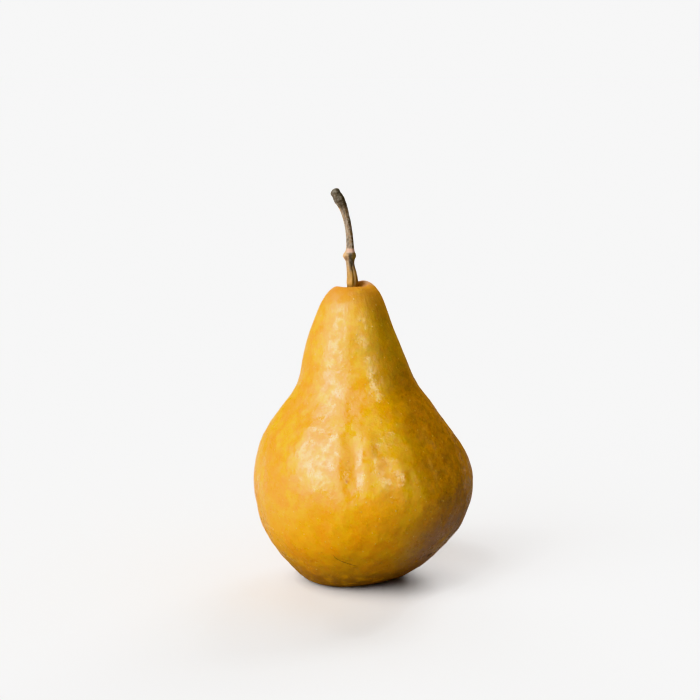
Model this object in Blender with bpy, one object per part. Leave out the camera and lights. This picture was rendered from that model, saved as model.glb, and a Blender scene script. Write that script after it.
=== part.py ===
"""A bosc pear at its real size: the fruit, its woody stem and the dried calyx in its base.

The pear stands on a small flat spot. +Z is up, +X is the right-hand side and +Y is the back.
The origin is on the ground, under the middle of the fruit. The fruit is turned round a middle
line that drifts from upright, and its flesh swells and sinks by a formula.
"""

import math

import bmesh
import bpy
import numpy as np
from mathutils import Matrix, Vector, noise

MM = 0.001

# Driving dimensions
BELLY_WIDTH = 75.0 * MM
BELLY_DEPTH = 73.0 * MM
CROWN_HEIGHT = 101.5 * MM
BASIN_DEPTH = 5.0 * MM
SOCKET_RADIUS = 2.0 * MM
SOCKET_DEPTH = 5.0 * MM
GAP = 0.3 * MM

# The fruit's half outline from the flat spot's edge up to the mouth of the stem's socket, as
# shares of half the belly's width and of the crown's height
FLANK_OUTLINE = (
    (0.300, 0.000),
    (0.408, 0.009),
    (0.553, 0.038),
    (0.737, 0.104),
    (0.912, 0.198),
    (1.000, 0.330),
    (0.912, 0.450),
    (0.730, 0.560),
    (0.543, 0.660),
    (0.458, 0.755),
    (0.370, 0.850),
    (0.284, 0.932),
    (0.208, 0.973),
    (0.130, 0.990),
    (0.080, 0.978),
)

# The basin's half outline from its middle out to the flat spot, as shares of half the
# belly's width and of the basin's depth
BASIN_OUTLINE = (
    (0.000, 1.00),
    (0.070, 0.97),
    (0.125, 0.74),
    (0.175, 0.32),
    (0.208, 0.06),
    (0.235, 0.00),
)

# How far the fruit's middle line drifts from upright, as (height, to the right, to the back)
MIDDLE_LINE = (
    (0.0 * MM, -6.0 * MM, 0.0 * MM),
    (3.0 * MM, -3.8 * MM, 0.0 * MM),
    (8.0 * MM, -2.0 * MM, -0.1 * MM),
    (17.0 * MM, -0.9 * MM, -0.2 * MM),
    (33.0 * MM, 0.0 * MM, 0.0 * MM),
    (50.0 * MM, -1.6 * MM, 0.6 * MM),
    (62.0 * MM, -2.0 * MM, 1.0 * MM),
    (72.0 * MM, -2.8 * MM, 1.3 * MM),
    (86.0 * MM, -3.9 * MM, 1.6 * MM),
    (101.0 * MM, -4.1 * MM, 1.8 * MM),
)

# Unevenness of the flesh: broad swellings all over, which fade out towards the flat spot and
# towards the stem, and soft ribs down the flanks of the belly. A fade runs from the value with
# none of it to the value with all of it.
SWELLING_SIZE = 22.0 * MM
SWELLING_HEIGHT = 0.7 * MM
SWELLING_FADE_BELOW = (0.0 * MM, 7.0 * MM)
SWELLING_FADE_INSIDE = (3.5 * MM, 9.0 * MM)
RIB_LENGTH = 45.0 * MM
RIBS_ROUND = 3.2
RIB_HEIGHT = 0.45 * MM
RIB_FADE_BELOW = (8.0 * MM, 26.0 * MM)
RIB_FADE_ABOVE = (80.0 * MM, 50.0 * MM)

# Single furrows, as (degrees from the front to the right, height, half width, half length, depth)
FURROWS = (
    (-8.0, 45.0 * MM, 2.4 * MM, 9.0 * MM, 0.8 * MM),
    (33.0, 47.0 * MM, 2.6 * MM, 11.0 * MM, 0.7 * MM),
    (47.0, 45.0 * MM, 2.6 * MM, 10.0 * MM, 0.6 * MM),
    (-70.0, 55.0 * MM, 4.0 * MM, 12.0 * MM, 0.5 * MM),
    (110.0, 50.0 * MM, 4.0 * MM, 14.0 * MM, 0.7 * MM),
    (195.0, 42.0 * MM, 3.5 * MM, 13.0 * MM, 0.6 * MM),
)

# The crown's uneven rim: a tilt, a saddle and three small lobes, as (how many high sides, the
# slope up towards them, where the first one is)
CROWN_WAVES = (
    (1, 0.133, math.radians(-18.0)),
    (2, 0.132, math.radians(43.0)),
    (3, 0.060, math.radians(55.0)),
)
CROWN_FADE_BELOW = (0.86 * CROWN_HEIGHT, CROWN_HEIGHT)
CROWN_FADE_INSIDE = (2.0 * MM, 3.2 * MM)

# The lobes of the flat spot's edge and the puckers of the basin's wall, whose fades are shares
# of the basin's depth
SPOT_LOBES = 3
SPOT_LOBE_SHARE = 0.04
SPOT_LOBE_FADE_ABOVE = (10.0 * MM, 0.0 * MM)
PUCKERS = 5
PUCKER_HEIGHT = 0.25 * MM
PUCKER_FADE_BELOW = (0.1, 0.4)
PUCKER_FADE_ABOVE = (0.98, 0.6)
SOCKET_LIP = 1.0 * MM

# The stem's middle line from the bottom of its root, as (to the right, to the back, up) from
# the middle of the socket's mouth
STEM_LINE = (
    (0.0 * MM, 0.0 * MM, -4.4 * MM),
    (0.0 * MM, 0.0 * MM, -1.0 * MM),
    (0.2 * MM, 0.1 * MM, 3.5 * MM),
    (-0.5 * MM, 0.4 * MM, 8.5 * MM),
    (-0.6 * MM, 0.8 * MM, 14.5 * MM),
    (-1.2 * MM, 1.2 * MM, 20.5 * MM),
    (-2.7 * MM, 1.4 * MM, 26.5 * MM),
    (-5.3 * MM, 1.5 * MM, 31.7 * MM),
)
# The stem's radius along it, as (share of its length, radius)
STEM_RADII = (
    (0.00, 1.55 * MM),
    (0.12, 1.65 * MM),
    (0.17, 1.95 * MM),
    (0.24, 1.75 * MM),
    (0.33, 1.40 * MM),
    (0.42, 1.45 * MM),
    (0.52, 1.30 * MM),
    (0.72, 1.25 * MM),
    (0.84, 1.40 * MM),
    (0.93, 1.80 * MM),
    (1.00, 1.70 * MM),
)
STEM_TIP_ROUNDING = 1.6 * MM
STEM_TIP_TURNS = (math.radians(28.0), math.radians(52.0), math.radians(73.0))
STEM_NODE_AT = 0.415
STEM_NODE_LENGTH = 0.034
STEM_NODE_SWELL = 0.30 * MM
STEM_KNOB_SWELL = 0.70 * MM
STEM_KNOB_SIDES = (math.radians(5.0), math.radians(185.0))
STEM_RIDGES = 5
STEM_RIDGE_HEIGHT = 0.09 * MM
STEM_RIDGE_TWIST = 5.0
STEM_RIDGES_FADE_BELOW = (0.18, 0.28)

# Dried calyx: a shallow cup, whose outline runs from its top round its rim, as shares of its
# radius and of its height downward
CUP_RADIUS = 2.6 * MM
CUP_HEIGHT = 1.2 * MM
CUP_OUTLINE = (
    (0.85, 0.00),
    (1.00, 0.40),
    (0.90, 1.00),
    (0.60, 0.90),
    (0.45, 0.45),
)
CUP_HOLLOW_DROP = 0.40

# The calyx's sepals, whose line is (share of the length outward, drop) from its root inside the
# cup, and which differ a little in length, turn and curl
SEPALS = 5
SEPAL_LENGTH = 5.2 * MM
SEPAL_WIDTH = 2.6 * MM
SEPAL_THICKNESS = 0.7 * MM
SEPAL_ROOT = (0.55, 0.55)
SEPAL_LINE = (
    (0.00, 0.00 * MM),
    (0.30, 0.35 * MM),
    (0.58, 1.05 * MM),
    (0.72, 1.85 * MM),
)
SEPAL_TIP_WIDTH_SHARE = 0.18
SEPAL_LENGTH_SPREAD = 0.5 * MM
SEPAL_TURN_SPREAD = 0.12
SEPAL_CURL_SPREAD = 0.12 * MM

# The stubs of the calyx's stamens, which lean in or out a little and grow thin towards their tips
STAMENS = 10
STAMEN_LENGTH = 2.2 * MM
STAMEN_THICKNESS = 0.45 * MM
STAMEN_ROOT = (0.70, 0.70)
STAMEN_LEAN = 0.5 * MM
STAMEN_HALF_WIDTHS = (0.28 * MM, 0.23 * MM, 0.17 * MM)

# How finely the solids are divided
FRUIT_SIDES = 64
FRUIT_RING_STEP = 2.7 * MM
BASIN_RING_STEP = 1.4 * MM
STEM_SIDES = 18
STEM_RING_STEP = 0.85 * MM
CUP_SIDES = 20
SEPAL_RING_STEP = 0.6 * MM

SKIN_COLOUR = (0.62, 0.29, 0.02, 1.0)
BARK_COLOUR = (0.20, 0.13, 0.07, 1.0)
CALYX_COLOUR = (0.09, 0.05, 0.02, 1.0)


def clear_scene():
    for old in list(bpy.data.objects):
        bpy.data.objects.remove(old, do_unlink=True)


def material(name, colour, roughness):
    made = bpy.data.materials.new(name)
    made.use_nodes = True
    shader = made.node_tree.nodes["Principled BSDF"]
    shader.inputs["Base Color"].default_value = colour
    shader.inputs["Roughness"].default_value = roughness
    shader.inputs["Metallic"].default_value = 0.0
    return made


def ease(zero_at, one_at, value):
    """A smooth change from 0 at one value to 1 at the other."""
    share = min(1.0, max(0.0, (value - zero_at) / (one_at - zero_at)))
    return share * share * (3.0 - 2.0 * share)


def smooth_line(points, step):
    """Points about one step apart along a smooth curve through the given ones."""
    points = [Vector(p) for p in points]
    padded = [2.0 * points[0] - points[1], *points, 2.0 * points[-1] - points[-2]]
    line = [points[0]]
    for before, start, end, after in zip(padded, padded[1:], padded[2:], padded[3:]):
        pieces = max(1, round((end - start).length / step))
        for i in range(1, pieces + 1):
            share = i / pieces
            line.append(
                start
                + (end - before) * (share / 2.0)
                + (before - 2.5 * start + 2.0 * end - 0.5 * after) * share**2
                + (1.5 * start - 0.5 * before - 1.5 * end + 0.5 * after) * share**3
            )
    return line


def read_table(table, at):
    """The rest of a table's row at a value of its first column, smoothly between its rows."""
    places = [row[0] for row in table]
    rows = [np.array(row[1:]) for row in table]
    last = len(table) - 1
    at = min(max(at, places[0]), places[last])
    i = max(k for k in range(last) if places[k] <= at)
    slopes = []
    for k in (i, i + 1):
        low = max(k - 1, 0)
        high = min(k + 1, last)
        slopes.append((rows[high] - rows[low]) / (places[high] - places[low]))
    width = places[i + 1] - places[i]
    share = (at - places[i]) / width
    eased = share * share * (3.0 - 2.0 * share)
    bend = slopes[0] * (share**3 - 2.0 * share**2 + share) + slopes[1] * (share**3 - share**2)
    return rows[i] + (rows[i + 1] - rows[i]) * eased + bend * width


def closed_mesh(name, rows):
    """A closed mesh from rows of points round an axis, whose first and last rows are one point."""
    shape = bmesh.new()
    rings = [[shape.verts.new(p) for p in row] for row in rows]
    for lower, upper in zip(rings, rings[1:]):
        sides = max(len(lower), len(upper))
        for i in range(sides):
            j = (i + 1) % sides
            corners = [lower[i % len(lower)], lower[j % len(lower)]]
            corners += [upper[j % len(upper)], upper[i % len(upper)]]
            shape.faces.new(list(dict.fromkeys(corners)))
    bmesh.ops.recalc_face_normals(shape, faces=shape.faces)
    mesh = bpy.data.meshes.new(name)
    shape.to_mesh(mesh)
    shape.free()
    return mesh


def add_object(name, mesh, finish):
    mesh.materials.clear()
    mesh.materials.append(finish)
    made = bpy.data.objects.new(name, mesh)
    bpy.context.scene.collection.objects.link(made)
    return made


def middle_at(height):
    """Where the fruit's middle line is at this height."""
    right, back = read_table(MIDDLE_LINE, height)
    return Vector((right, back, height))


def across(angle):
    """The way out from the middle line at this angle, a little shorter to the front and back."""
    return Vector((math.cos(angle), math.sin(angle) * BELLY_DEPTH / BELLY_WIDTH, 0.0))


def spot_lobe(angle, height):
    """How much wider the fruit is at this angle because of the flat spot's lobes."""
    return 1.0 + SPOT_LOBE_SHARE * ease(*SPOT_LOBE_FADE_ABOVE, height) * math.cos(SPOT_LOBES * angle)


def unevenness(angle, middle, radius, height):
    """How far the flesh stands out here because of its swellings, ribs and furrows."""
    outward = Vector((math.cos(angle), math.sin(angle), 0.0))
    raised = SWELLING_HEIGHT * noise.noise((middle + outward * radius) / SWELLING_SIZE)
    on_belly = ease(*RIB_FADE_BELOW, height) * ease(*RIB_FADE_ABOVE, height)
    rib_place = outward * RIBS_ROUND + Vector((0.0, 0.0, height / RIB_LENGTH))
    raised += RIB_HEIGHT * noise.noise(rib_place) * on_belly
    for degrees, furrow_height, half_width, half_length, depth in FURROWS:
        turn = angle - math.radians(degrees - 90.0)
        turn = (turn + math.pi) % (2.0 * math.pi) - math.pi
        aside = turn * radius / half_width
        along = (height - furrow_height) / half_length
        raised -= depth * math.exp(-aside * aside - along * along)
    return raised * ease(*SWELLING_FADE_BELOW, height) * ease(*SWELLING_FADE_INSIDE, radius)


def crown_rise(angle, radius, height):
    """How far the crown is lifted here, because its rim is uneven."""
    in_crown = ease(*CROWN_FADE_BELOW, height) * ease(*CROWN_FADE_INSIDE, radius)
    slope = sum(share * math.cos(sides * (angle - side)) for sides, share, side in CROWN_WAVES)
    return slope * radius * in_crown


def basin_ring(angles, radius, height):
    """A ring of the basin underneath, puckered half-way up its wall."""
    wall_share = height / BASIN_DEPTH
    puckered = ease(*PUCKER_FADE_BELOW, wall_share) * ease(*PUCKER_FADE_ABOVE, wall_share)
    ring = []
    for angle in angles:
        point = middle_at(0.0) + across(angle) * radius * spot_lobe(angle, 0.0)
        point.z = height + PUCKER_HEIGHT * puckered * math.cos(PUCKERS * angle)
        ring.append(point)
    return ring


def flank_ring(angles, radius, height):
    """A ring of the outer skin, from the flat spot's edge up to the socket's mouth."""
    middle = middle_at(height)
    ring = []
    for angle in angles:
        reach = radius * spot_lobe(angle, height)
        reach += unevenness(angle, middle, radius, height)
        point = middle + across(angle) * reach
        point.z += crown_rise(angle, reach, height)
        ring.append(point)
    return ring


def socket_mouth():
    """The middle of the stem's socket where it opens on the crown."""
    mouth = middle_at(CROWN_HEIGHT)
    mouth.z = FLANK_OUTLINE[-1][1] * CROWN_HEIGHT
    return mouth


def make_fruit():
    """The flesh and skin, one solid with the basin below and the stem's socket on top."""
    half = BELLY_WIDTH / 2.0
    angles = [2.0 * math.pi * i / FRUIT_SIDES for i in range(FRUIT_SIDES)]
    basin = [(r * half, z * BASIN_DEPTH, 0.0) for r, z in BASIN_OUTLINE]
    flank = [(r * half, z * CROWN_HEIGHT, 0.0) for r, z in FLANK_OUTLINE]
    rows = [[middle_at(0.0) + Vector((0.0, 0.0, BASIN_DEPTH))]]
    for place in smooth_line(basin, BASIN_RING_STEP)[1:]:
        rows.append(basin_ring(angles, place.x, max(0.0, place.y)))
    for place in smooth_line(flank, FRUIT_RING_STEP):
        rows.append(flank_ring(angles, place.x, max(0.0, place.y)))
    mouth = socket_mouth()
    for depth in (SOCKET_LIP, SOCKET_DEPTH):
        floor = mouth - Vector((0.0, 0.0, depth))
        rows.append([floor + across(angle) * SOCKET_RADIUS for angle in angles])
    rows.append([floor])
    mesh = closed_mesh("fruit", rows)
    mesh.shade_smooth()
    return add_object("fruit", mesh, material("pear_skin", SKIN_COLOUR, 0.38))


def stem_radius(share, angle):
    """The stem's radius at a share of its length, with its ridges, its node and the two knobs."""
    radius = read_table(STEM_RADII, share)[0]
    ridge = math.cos(STEM_RIDGES * angle + STEM_RIDGE_TWIST * share)
    radius += STEM_RIDGE_HEIGHT * ease(*STEM_RIDGES_FADE_BELOW, share) * ridge
    near_node = math.exp(-(((share - STEM_NODE_AT) / STEM_NODE_LENGTH) ** 2))
    knobs = sum(max(0.0, math.cos(angle - side)) ** 4 for side in STEM_KNOB_SIDES)
    return radius + near_node * (STEM_NODE_SWELL + STEM_KNOB_SWELL * knobs)


def make_stem():
    """The woody stem: its root in the socket, the node with two bud scars, and the blunt tip."""
    line = smooth_line(STEM_LINE, STEM_RING_STEP)
    lengths = [0.0]
    for start, end in zip(line, line[1:]):
        lengths.append(lengths[-1] + (end - start).length)
    angles = [2.0 * math.pi * i / STEM_SIDES for i in range(STEM_SIDES)]
    rows = [[line[0]]]
    right = Vector((1.0, 0.0, 0.0))
    for i, middle in enumerate(line):
        ahead = (line[min(i + 1, len(line) - 1)] - line[max(i - 1, 0)]).normalized()
        right = (right - ahead * right.dot(ahead)).normalized()
        back = ahead.cross(right)
        share = lengths[i] / lengths[-1]
        ring = []
        for angle in angles:
            way_out = right * math.cos(angle) + back * math.sin(angle)
            ring.append(middle + way_out * stem_radius(share, angle))
        rows.append(ring)
    tip_ring = rows[-1]
    for turn in STEM_TIP_TURNS:
        forward = ahead * STEM_TIP_ROUNDING * math.sin(turn)
        rows.append([line[-1].lerp(p, math.cos(turn)) + forward for p in tip_ring])
    rows.append([line[-1] + ahead * STEM_TIP_ROUNDING])
    mesh = closed_mesh("stem", rows)
    mesh.shade_smooth()
    return add_object("stem", mesh, material("stem_bark", BARK_COLOUR, 0.75))


def blade(name, line, half_widths, thickness, turn):
    """A thin closed blade along a line that runs outward, turned round the calyx's axis."""
    corners = ((1.0, 0.0), (0.5, 0.5), (-0.5, 0.5), (-1.0, 0.0), (-0.5, -0.5), (0.5, -0.5))
    aside = Vector((0.0, 1.0, 0.0))
    rows = [[line[0]]]
    for i, (middle, half_width) in enumerate(zip(line, half_widths)):
        ahead = (line[min(i + 1, len(line) - 1)] - line[max(i - 1, 0)]).normalized()
        face = ahead.cross(aside)
        rows.append([middle + aside * a * half_width + face * b * thickness for a, b in corners])
    rows.append([line[-1]])
    spin = Matrix.Rotation(turn, 3, "Z")
    rows = [[spin @ point for point in row] for row in rows]
    return bpy.data.objects.new(name, closed_mesh(name, rows))


def make_cup(cup_top, finish):
    """The calyx's shallow cup, upside down under the basin's middle."""
    turns = [2.0 * math.pi * i / CUP_SIDES for i in range(CUP_SIDES)]
    rows = [[Vector((0.0, 0.0, cup_top))]]
    for radius_share, drop_share in CUP_OUTLINE:
        radius = CUP_RADIUS * radius_share
        height = cup_top - CUP_HEIGHT * drop_share
        rows.append([Vector((radius * math.cos(t), radius * math.sin(t), height)) for t in turns])
    rows.append([Vector((0.0, 0.0, cup_top - CUP_HEIGHT * CUP_HOLLOW_DROP))])
    return add_object("calyx", closed_mesh("calyx", rows), finish)


def in_cup(radius_share, drop_share, cup_top):
    """A place in the cup's wall, from which a sepal or a stamen grows."""
    return Vector((CUP_RADIUS * radius_share, 0.0, cup_top - CUP_HEIGHT * drop_share))


def make_sepal(i, cup_top):
    """A dried sepal that runs outward from the cup and curls down at its tip."""
    root = in_cup(*SEPAL_ROOT, cup_top)
    length = SEPAL_LENGTH + SEPAL_LENGTH_SPREAD * math.cos(2.3 * i)
    curl = SEPAL_CURL_SPREAD * math.sin(3.1 * i)
    points = [root + Vector((length * out, 0.0, out * curl - drop)) for out, drop in SEPAL_LINE]
    line = smooth_line(points, SEPAL_RING_STEP)
    half_widths = []
    for k in range(len(line)):
        left = 1.0 - k / (len(line) - 1)
        width_share = SEPAL_TIP_WIDTH_SHARE + left**0.7 * (1.4 - 0.8 * left)
        half_widths.append(SEPAL_WIDTH / 2.0 * width_share)
    turn = 2.0 * math.pi * i / SEPALS + SEPAL_TURN_SPREAD * math.sin(1.7 * i)
    return blade(f"sepal_{i}", line, half_widths, SEPAL_THICKNESS, turn)


def make_stamen(i, cup_top):
    """The stub of a stamen that stands down from the cup's rim."""
    root = in_cup(*STAMEN_ROOT, cup_top)
    tip = root + Vector((STAMEN_LEAN * math.sin(2.0 * i), 0.0, -STAMEN_LENGTH))
    line = [root, root.lerp(tip, 0.5), tip]
    turn = 2.0 * math.pi * (i + 0.5) / STAMENS
    return blade(f"stamen_{i}", line, STAMEN_HALF_WIDTHS, STAMEN_THICKNESS, turn)


def make_calyx():
    """The cup, five curled sepals and the stamens' stubs, joined in one solid."""
    cup_top = BASIN_DEPTH * BASIN_OUTLINE[2][1] - GAP
    cup = make_cup(cup_top, material("dry_calyx", CALYX_COLOUR, 0.85))
    repeats = bpy.data.collections.new("calyx_repeats")
    bpy.context.scene.collection.children.link(repeats)
    for i in range(SEPALS):
        repeats.objects.link(make_sepal(i, cup_top))
    for i in range(STAMENS):
        repeats.objects.link(make_stamen(i, cup_top))
    join = cup.modifiers.new("join", "BOOLEAN")
    join.operation = "UNION"
    join.operand_type = "COLLECTION"
    join.collection = repeats
    join.solver = "EXACT"
    bpy.context.view_layer.update()
    graph = bpy.context.evaluated_depsgraph_get()
    joined = bpy.data.meshes.new_from_object(cup.evaluated_get(graph))
    cup.modifiers.clear()
    cup.data = joined
    for piece in list(repeats.objects):
        bpy.data.objects.remove(piece, do_unlink=True)
    bpy.data.collections.remove(repeats)
    return cup


def main():
    clear_scene()
    fruit = make_fruit()
    stem = make_stem()
    stem.parent = fruit
    stem.location = socket_mouth()
    calyx = make_calyx()
    calyx.parent = fruit
    calyx.location = middle_at(0.0)
    corners = [Vector(corner) for corner in fruit.bound_box]
    middle = (corners[0] + corners[6]) / 2.0
    fruit.location = (-middle.x, -middle.y, 0.0)


main()
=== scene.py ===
"""A bosc pear's looks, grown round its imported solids.

Each operator makes one piece or one group of like pieces: the fruit with its skin, the lenticels
and the healed scars on it, the woody stem and the dried calyx. One more sets the stage.
The fruit is turned round a middle line that drifts from upright. +Z is up, +X is the right-hand
side and +Y is the back, and the pear stands on the floor at Z = 0.
"""

import functools
import math

import bmesh
import bpy
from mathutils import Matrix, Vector, noise


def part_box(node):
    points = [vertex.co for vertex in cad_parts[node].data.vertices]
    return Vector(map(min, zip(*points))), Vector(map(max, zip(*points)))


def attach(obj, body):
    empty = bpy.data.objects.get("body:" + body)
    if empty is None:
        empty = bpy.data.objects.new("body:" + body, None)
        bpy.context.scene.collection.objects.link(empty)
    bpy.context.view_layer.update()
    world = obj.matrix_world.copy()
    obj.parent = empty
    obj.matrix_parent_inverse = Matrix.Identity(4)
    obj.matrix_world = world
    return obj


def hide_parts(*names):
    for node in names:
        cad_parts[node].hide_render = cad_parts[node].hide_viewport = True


bl_info = {
    "name": "Bosc Pear",
    "version": (1, 0, 0),
    "blender": (4, 5, 0),
    "location": "View3D > Sidebar > Pear",
    "description": "Grows a bosc pear's skin, stem and calyx round its packed solids",
    "category": "Object",
}

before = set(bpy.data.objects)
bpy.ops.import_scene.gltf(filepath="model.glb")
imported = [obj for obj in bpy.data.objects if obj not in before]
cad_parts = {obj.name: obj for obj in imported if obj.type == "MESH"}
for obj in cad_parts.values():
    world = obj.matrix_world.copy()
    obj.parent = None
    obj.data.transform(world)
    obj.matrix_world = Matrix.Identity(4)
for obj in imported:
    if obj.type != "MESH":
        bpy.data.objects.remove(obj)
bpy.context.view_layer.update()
FRUIT_LOW, FRUIT_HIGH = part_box("fruit")
STEM_LOW, STEM_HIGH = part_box("stem")
CALYX_LOW, CALYX_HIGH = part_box("calyx")

BODY = "root"
MM = 0.001

# Driving sizes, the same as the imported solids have
BELLY_WIDTH = 75.0 * MM
BELLY_DEPTH = 73.0 * MM
CROWN_HEIGHT = 101.5 * MM
BASIN_DEPTH = 5.0 * MM
SOCKET_RADIUS = 1.80 * MM
SOCKET_DEPTH = 5.0 * MM
SOCKET_LIP = 1.0 * MM
GAP = 0.3 * MM

# The fruit's half outline from the flat spot's edge up to the mouth of the stem's socket, as
# shares of half the belly's width and of the crown's height
FLANK_OUTLINE = (
    (0.300, 0.000),
    (0.408, 0.009),
    (0.553, 0.038),
    (0.737, 0.104),
    (0.912, 0.198),
    (1.000, 0.330),
    (0.912, 0.450),
    (0.730, 0.560),
    (0.543, 0.660),
    (0.458, 0.755),
    (0.370, 0.850),
    (0.284, 0.932),
    (0.208, 0.973),
    (0.130, 0.990),
    (0.080, 0.978),
)

# The basin's half outline from its middle out to the flat spot, as shares of half the
# belly's width and of the basin's depth
BASIN_OUTLINE = (
    (0.000, 1.00),
    (0.070, 0.97),
    (0.125, 0.74),
    (0.175, 0.32),
    (0.208, 0.06),
    (0.235, 0.00),
)

# How far the fruit's middle line drifts from upright, as (height, to the right, to the back)
MIDDLE_LINE = (
    (0.0 * MM, -6.0 * MM, 0.0 * MM),
    (3.0 * MM, -3.8 * MM, 0.0 * MM),
    (8.0 * MM, -2.0 * MM, -0.1 * MM),
    (17.0 * MM, -0.9 * MM, -0.2 * MM),
    (33.0 * MM, 0.0 * MM, 0.0 * MM),
    (50.0 * MM, -1.6 * MM, 0.6 * MM),
    (62.0 * MM, -2.0 * MM, 1.0 * MM),
    (72.0 * MM, -2.8 * MM, 1.3 * MM),
    (86.0 * MM, -3.9 * MM, 1.6 * MM),
    (101.0 * MM, -4.1 * MM, 1.8 * MM),
)

# Unevenness of the flesh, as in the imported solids. A fade runs from the value with none of it to
# the value with all of it.
SWELLING_SIZE = 22.0 * MM
SWELLING_HEIGHT = 0.7 * MM
SWELLING_FADE_BELOW = (0.0 * MM, 7.0 * MM)
SWELLING_FADE_INSIDE = (3.5 * MM, 9.0 * MM)
RIB_LENGTH = 45.0 * MM
RIBS_ROUND = 3.2
RIB_HEIGHT = 0.45 * MM
RIB_FADE_BELOW = (8.0 * MM, 26.0 * MM)
RIB_FADE_ABOVE = (80.0 * MM, 50.0 * MM)
FURROWS = (
    (-8.0, 45.0 * MM, 2.4 * MM, 9.0 * MM, 0.8 * MM),
    (33.0, 47.0 * MM, 2.6 * MM, 11.0 * MM, 0.7 * MM),
    (47.0, 45.0 * MM, 2.6 * MM, 10.0 * MM, 0.6 * MM),
    (-70.0, 55.0 * MM, 4.0 * MM, 12.0 * MM, 0.5 * MM),
    (110.0, 50.0 * MM, 4.0 * MM, 14.0 * MM, 0.7 * MM),
    (195.0, 42.0 * MM, 3.5 * MM, 13.0 * MM, 0.6 * MM),
)
CROWN_WAVES = (
    (1, 0.133, math.radians(-18.0)),
    (2, 0.132, math.radians(43.0)),
    (3, 0.060, math.radians(55.0)),
)
CROWN_FADE_BELOW = (0.86 * CROWN_HEIGHT, CROWN_HEIGHT)
CROWN_FADE_INSIDE = (2.0 * MM, 3.2 * MM)
SPOT_LOBES = 3
SPOT_LOBE_SHARE = 0.04
SPOT_LOBE_FADE_ABOVE = (10.0 * MM, 0.0 * MM)
PUCKERS = 5
PUCKER_HEIGHT = 0.25 * MM
PUCKER_FADE_BELOW = (0.1, 0.4)
PUCKER_FADE_ABOVE = (0.98, 0.6)

# Fine dents (and, with a depth below zero, bumps) that only the skin has, as (degrees from the
# front to the right, height, half width, half length, depth)
DENTS = (
    (-26.0, 73.9 * MM, 5.0 * MM, 0.9 * MM, 0.10 * MM),
    (-25.0, 56.5 * MM, 3.4 * MM, 2.2 * MM, 0.20 * MM),
    (-19.0, 50.5 * MM, 1.6 * MM, 2.0 * MM, 0.16 * MM),
    (-33.0, 48.0 * MM, 2.2 * MM, 1.8 * MM, 0.14 * MM),
    (-10.5, 45.0 * MM, 2.2 * MM, 9.0 * MM, -0.45 * MM),
    (-3.0, 45.0 * MM, 1.8 * MM, 8.0 * MM, 0.40 * MM),
    (5.0, 51.5 * MM, 1.9 * MM, 4.0 * MM, -0.34 * MM),
    (2.5, 42.0 * MM, 1.7 * MM, 3.6 * MM, -0.26 * MM),
    (31.0, 47.0 * MM, 2.6 * MM, 11.0 * MM, -0.45 * MM),
    (16.2, 82.0 * MM, 1.8 * MM, 1.8 * MM, -0.16 * MM),
    (14.6, 72.0 * MM, 2.6 * MM, 2.8 * MM, -0.30 * MM),
    (22.5, 67.8 * MM, 2.4 * MM, 2.4 * MM, -0.22 * MM),
    (30.5, 63.4 * MM, 2.2 * MM, 2.2 * MM, -0.20 * MM),
    (20.0, 43.5 * MM, 3.4 * MM, 6.0 * MM, -0.45 * MM),
    (27.5, 52.0 * MM, 1.6 * MM, 5.0 * MM, 0.20 * MM),
    (40.5, 45.5 * MM, 1.7 * MM, 6.5 * MM, 0.36 * MM),
    (53.0, 50.0 * MM, 2.2 * MM, 6.0 * MM, -0.26 * MM),
    (-52.0, 38.0 * MM, 2.0 * MM, 2.6 * MM, 0.14 * MM),
    (78.0, 62.0 * MM, 2.4 * MM, 3.0 * MM, 0.22 * MM),
    (132.0, 36.0 * MM, 3.0 * MM, 2.2 * MM, 0.26 * MM),
    (165.0, 66.0 * MM, 2.2 * MM, 5.0 * MM, 0.20 * MM),
    (-120.0, 44.0 * MM, 2.6 * MM, 3.4 * MM, 0.24 * MM),
    (-150.0, 28.0 * MM, 1.8 * MM, 1.6 * MM, 0.20 * MM),
)

# How the skin's lumps are turned, and where its relief fades
LUMPS_TURN = (0.6, 0.8, 0.4)
CALM_FADE = (60.0 * MM, 78.0 * MM)
RELIEF_FADE_BELOW = (0.2 * MM, 5.0 * MM)
RELIEF_FADE_INSIDE = (3.0 * MM, 8.0 * MM)

# The fine grain of the skin. Its streaks are (number round it, length, the noise's edges).
WAVE_SIZE = 1.1 * MM
PORE_SIZE = 0.45 * MM
NECK_STREAKS = (70.0, 14.0 * MM, 0.3, 0.7)
STREAKS_FADE = (76.0 * MM, 96.0 * MM)

# Where the skin's colours fade, by the height, by the side it faces or by its reach
LOW_BELLY_FADE = (40.0 * MM, 18.0 * MM)
NECK_FADE = (58.0 * MM, 92.0 * MM)
# The side that faces away from the key light, whose flank is painted darker as shade, and where that
# painted shade fades
FLANK_SHADE_SIDE = (0.94, 0.34, 0.0)
FLANK_SHADE_FADE = (-0.05, 0.55)
WAIST_FADE = (64.0 * MM, 80.0 * MM)
BLUSH_FADE = (89.0 * MM, 101.0 * MM)
BASE_FADE = (14.0 * MM, 3.0 * MM)
CAVITY_FADE_BELOW = (93.0 * MM, 97.0 * MM)
CAVITY_FADE_OUTSIDE = (6.2 * MM, 4.0 * MM)

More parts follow.
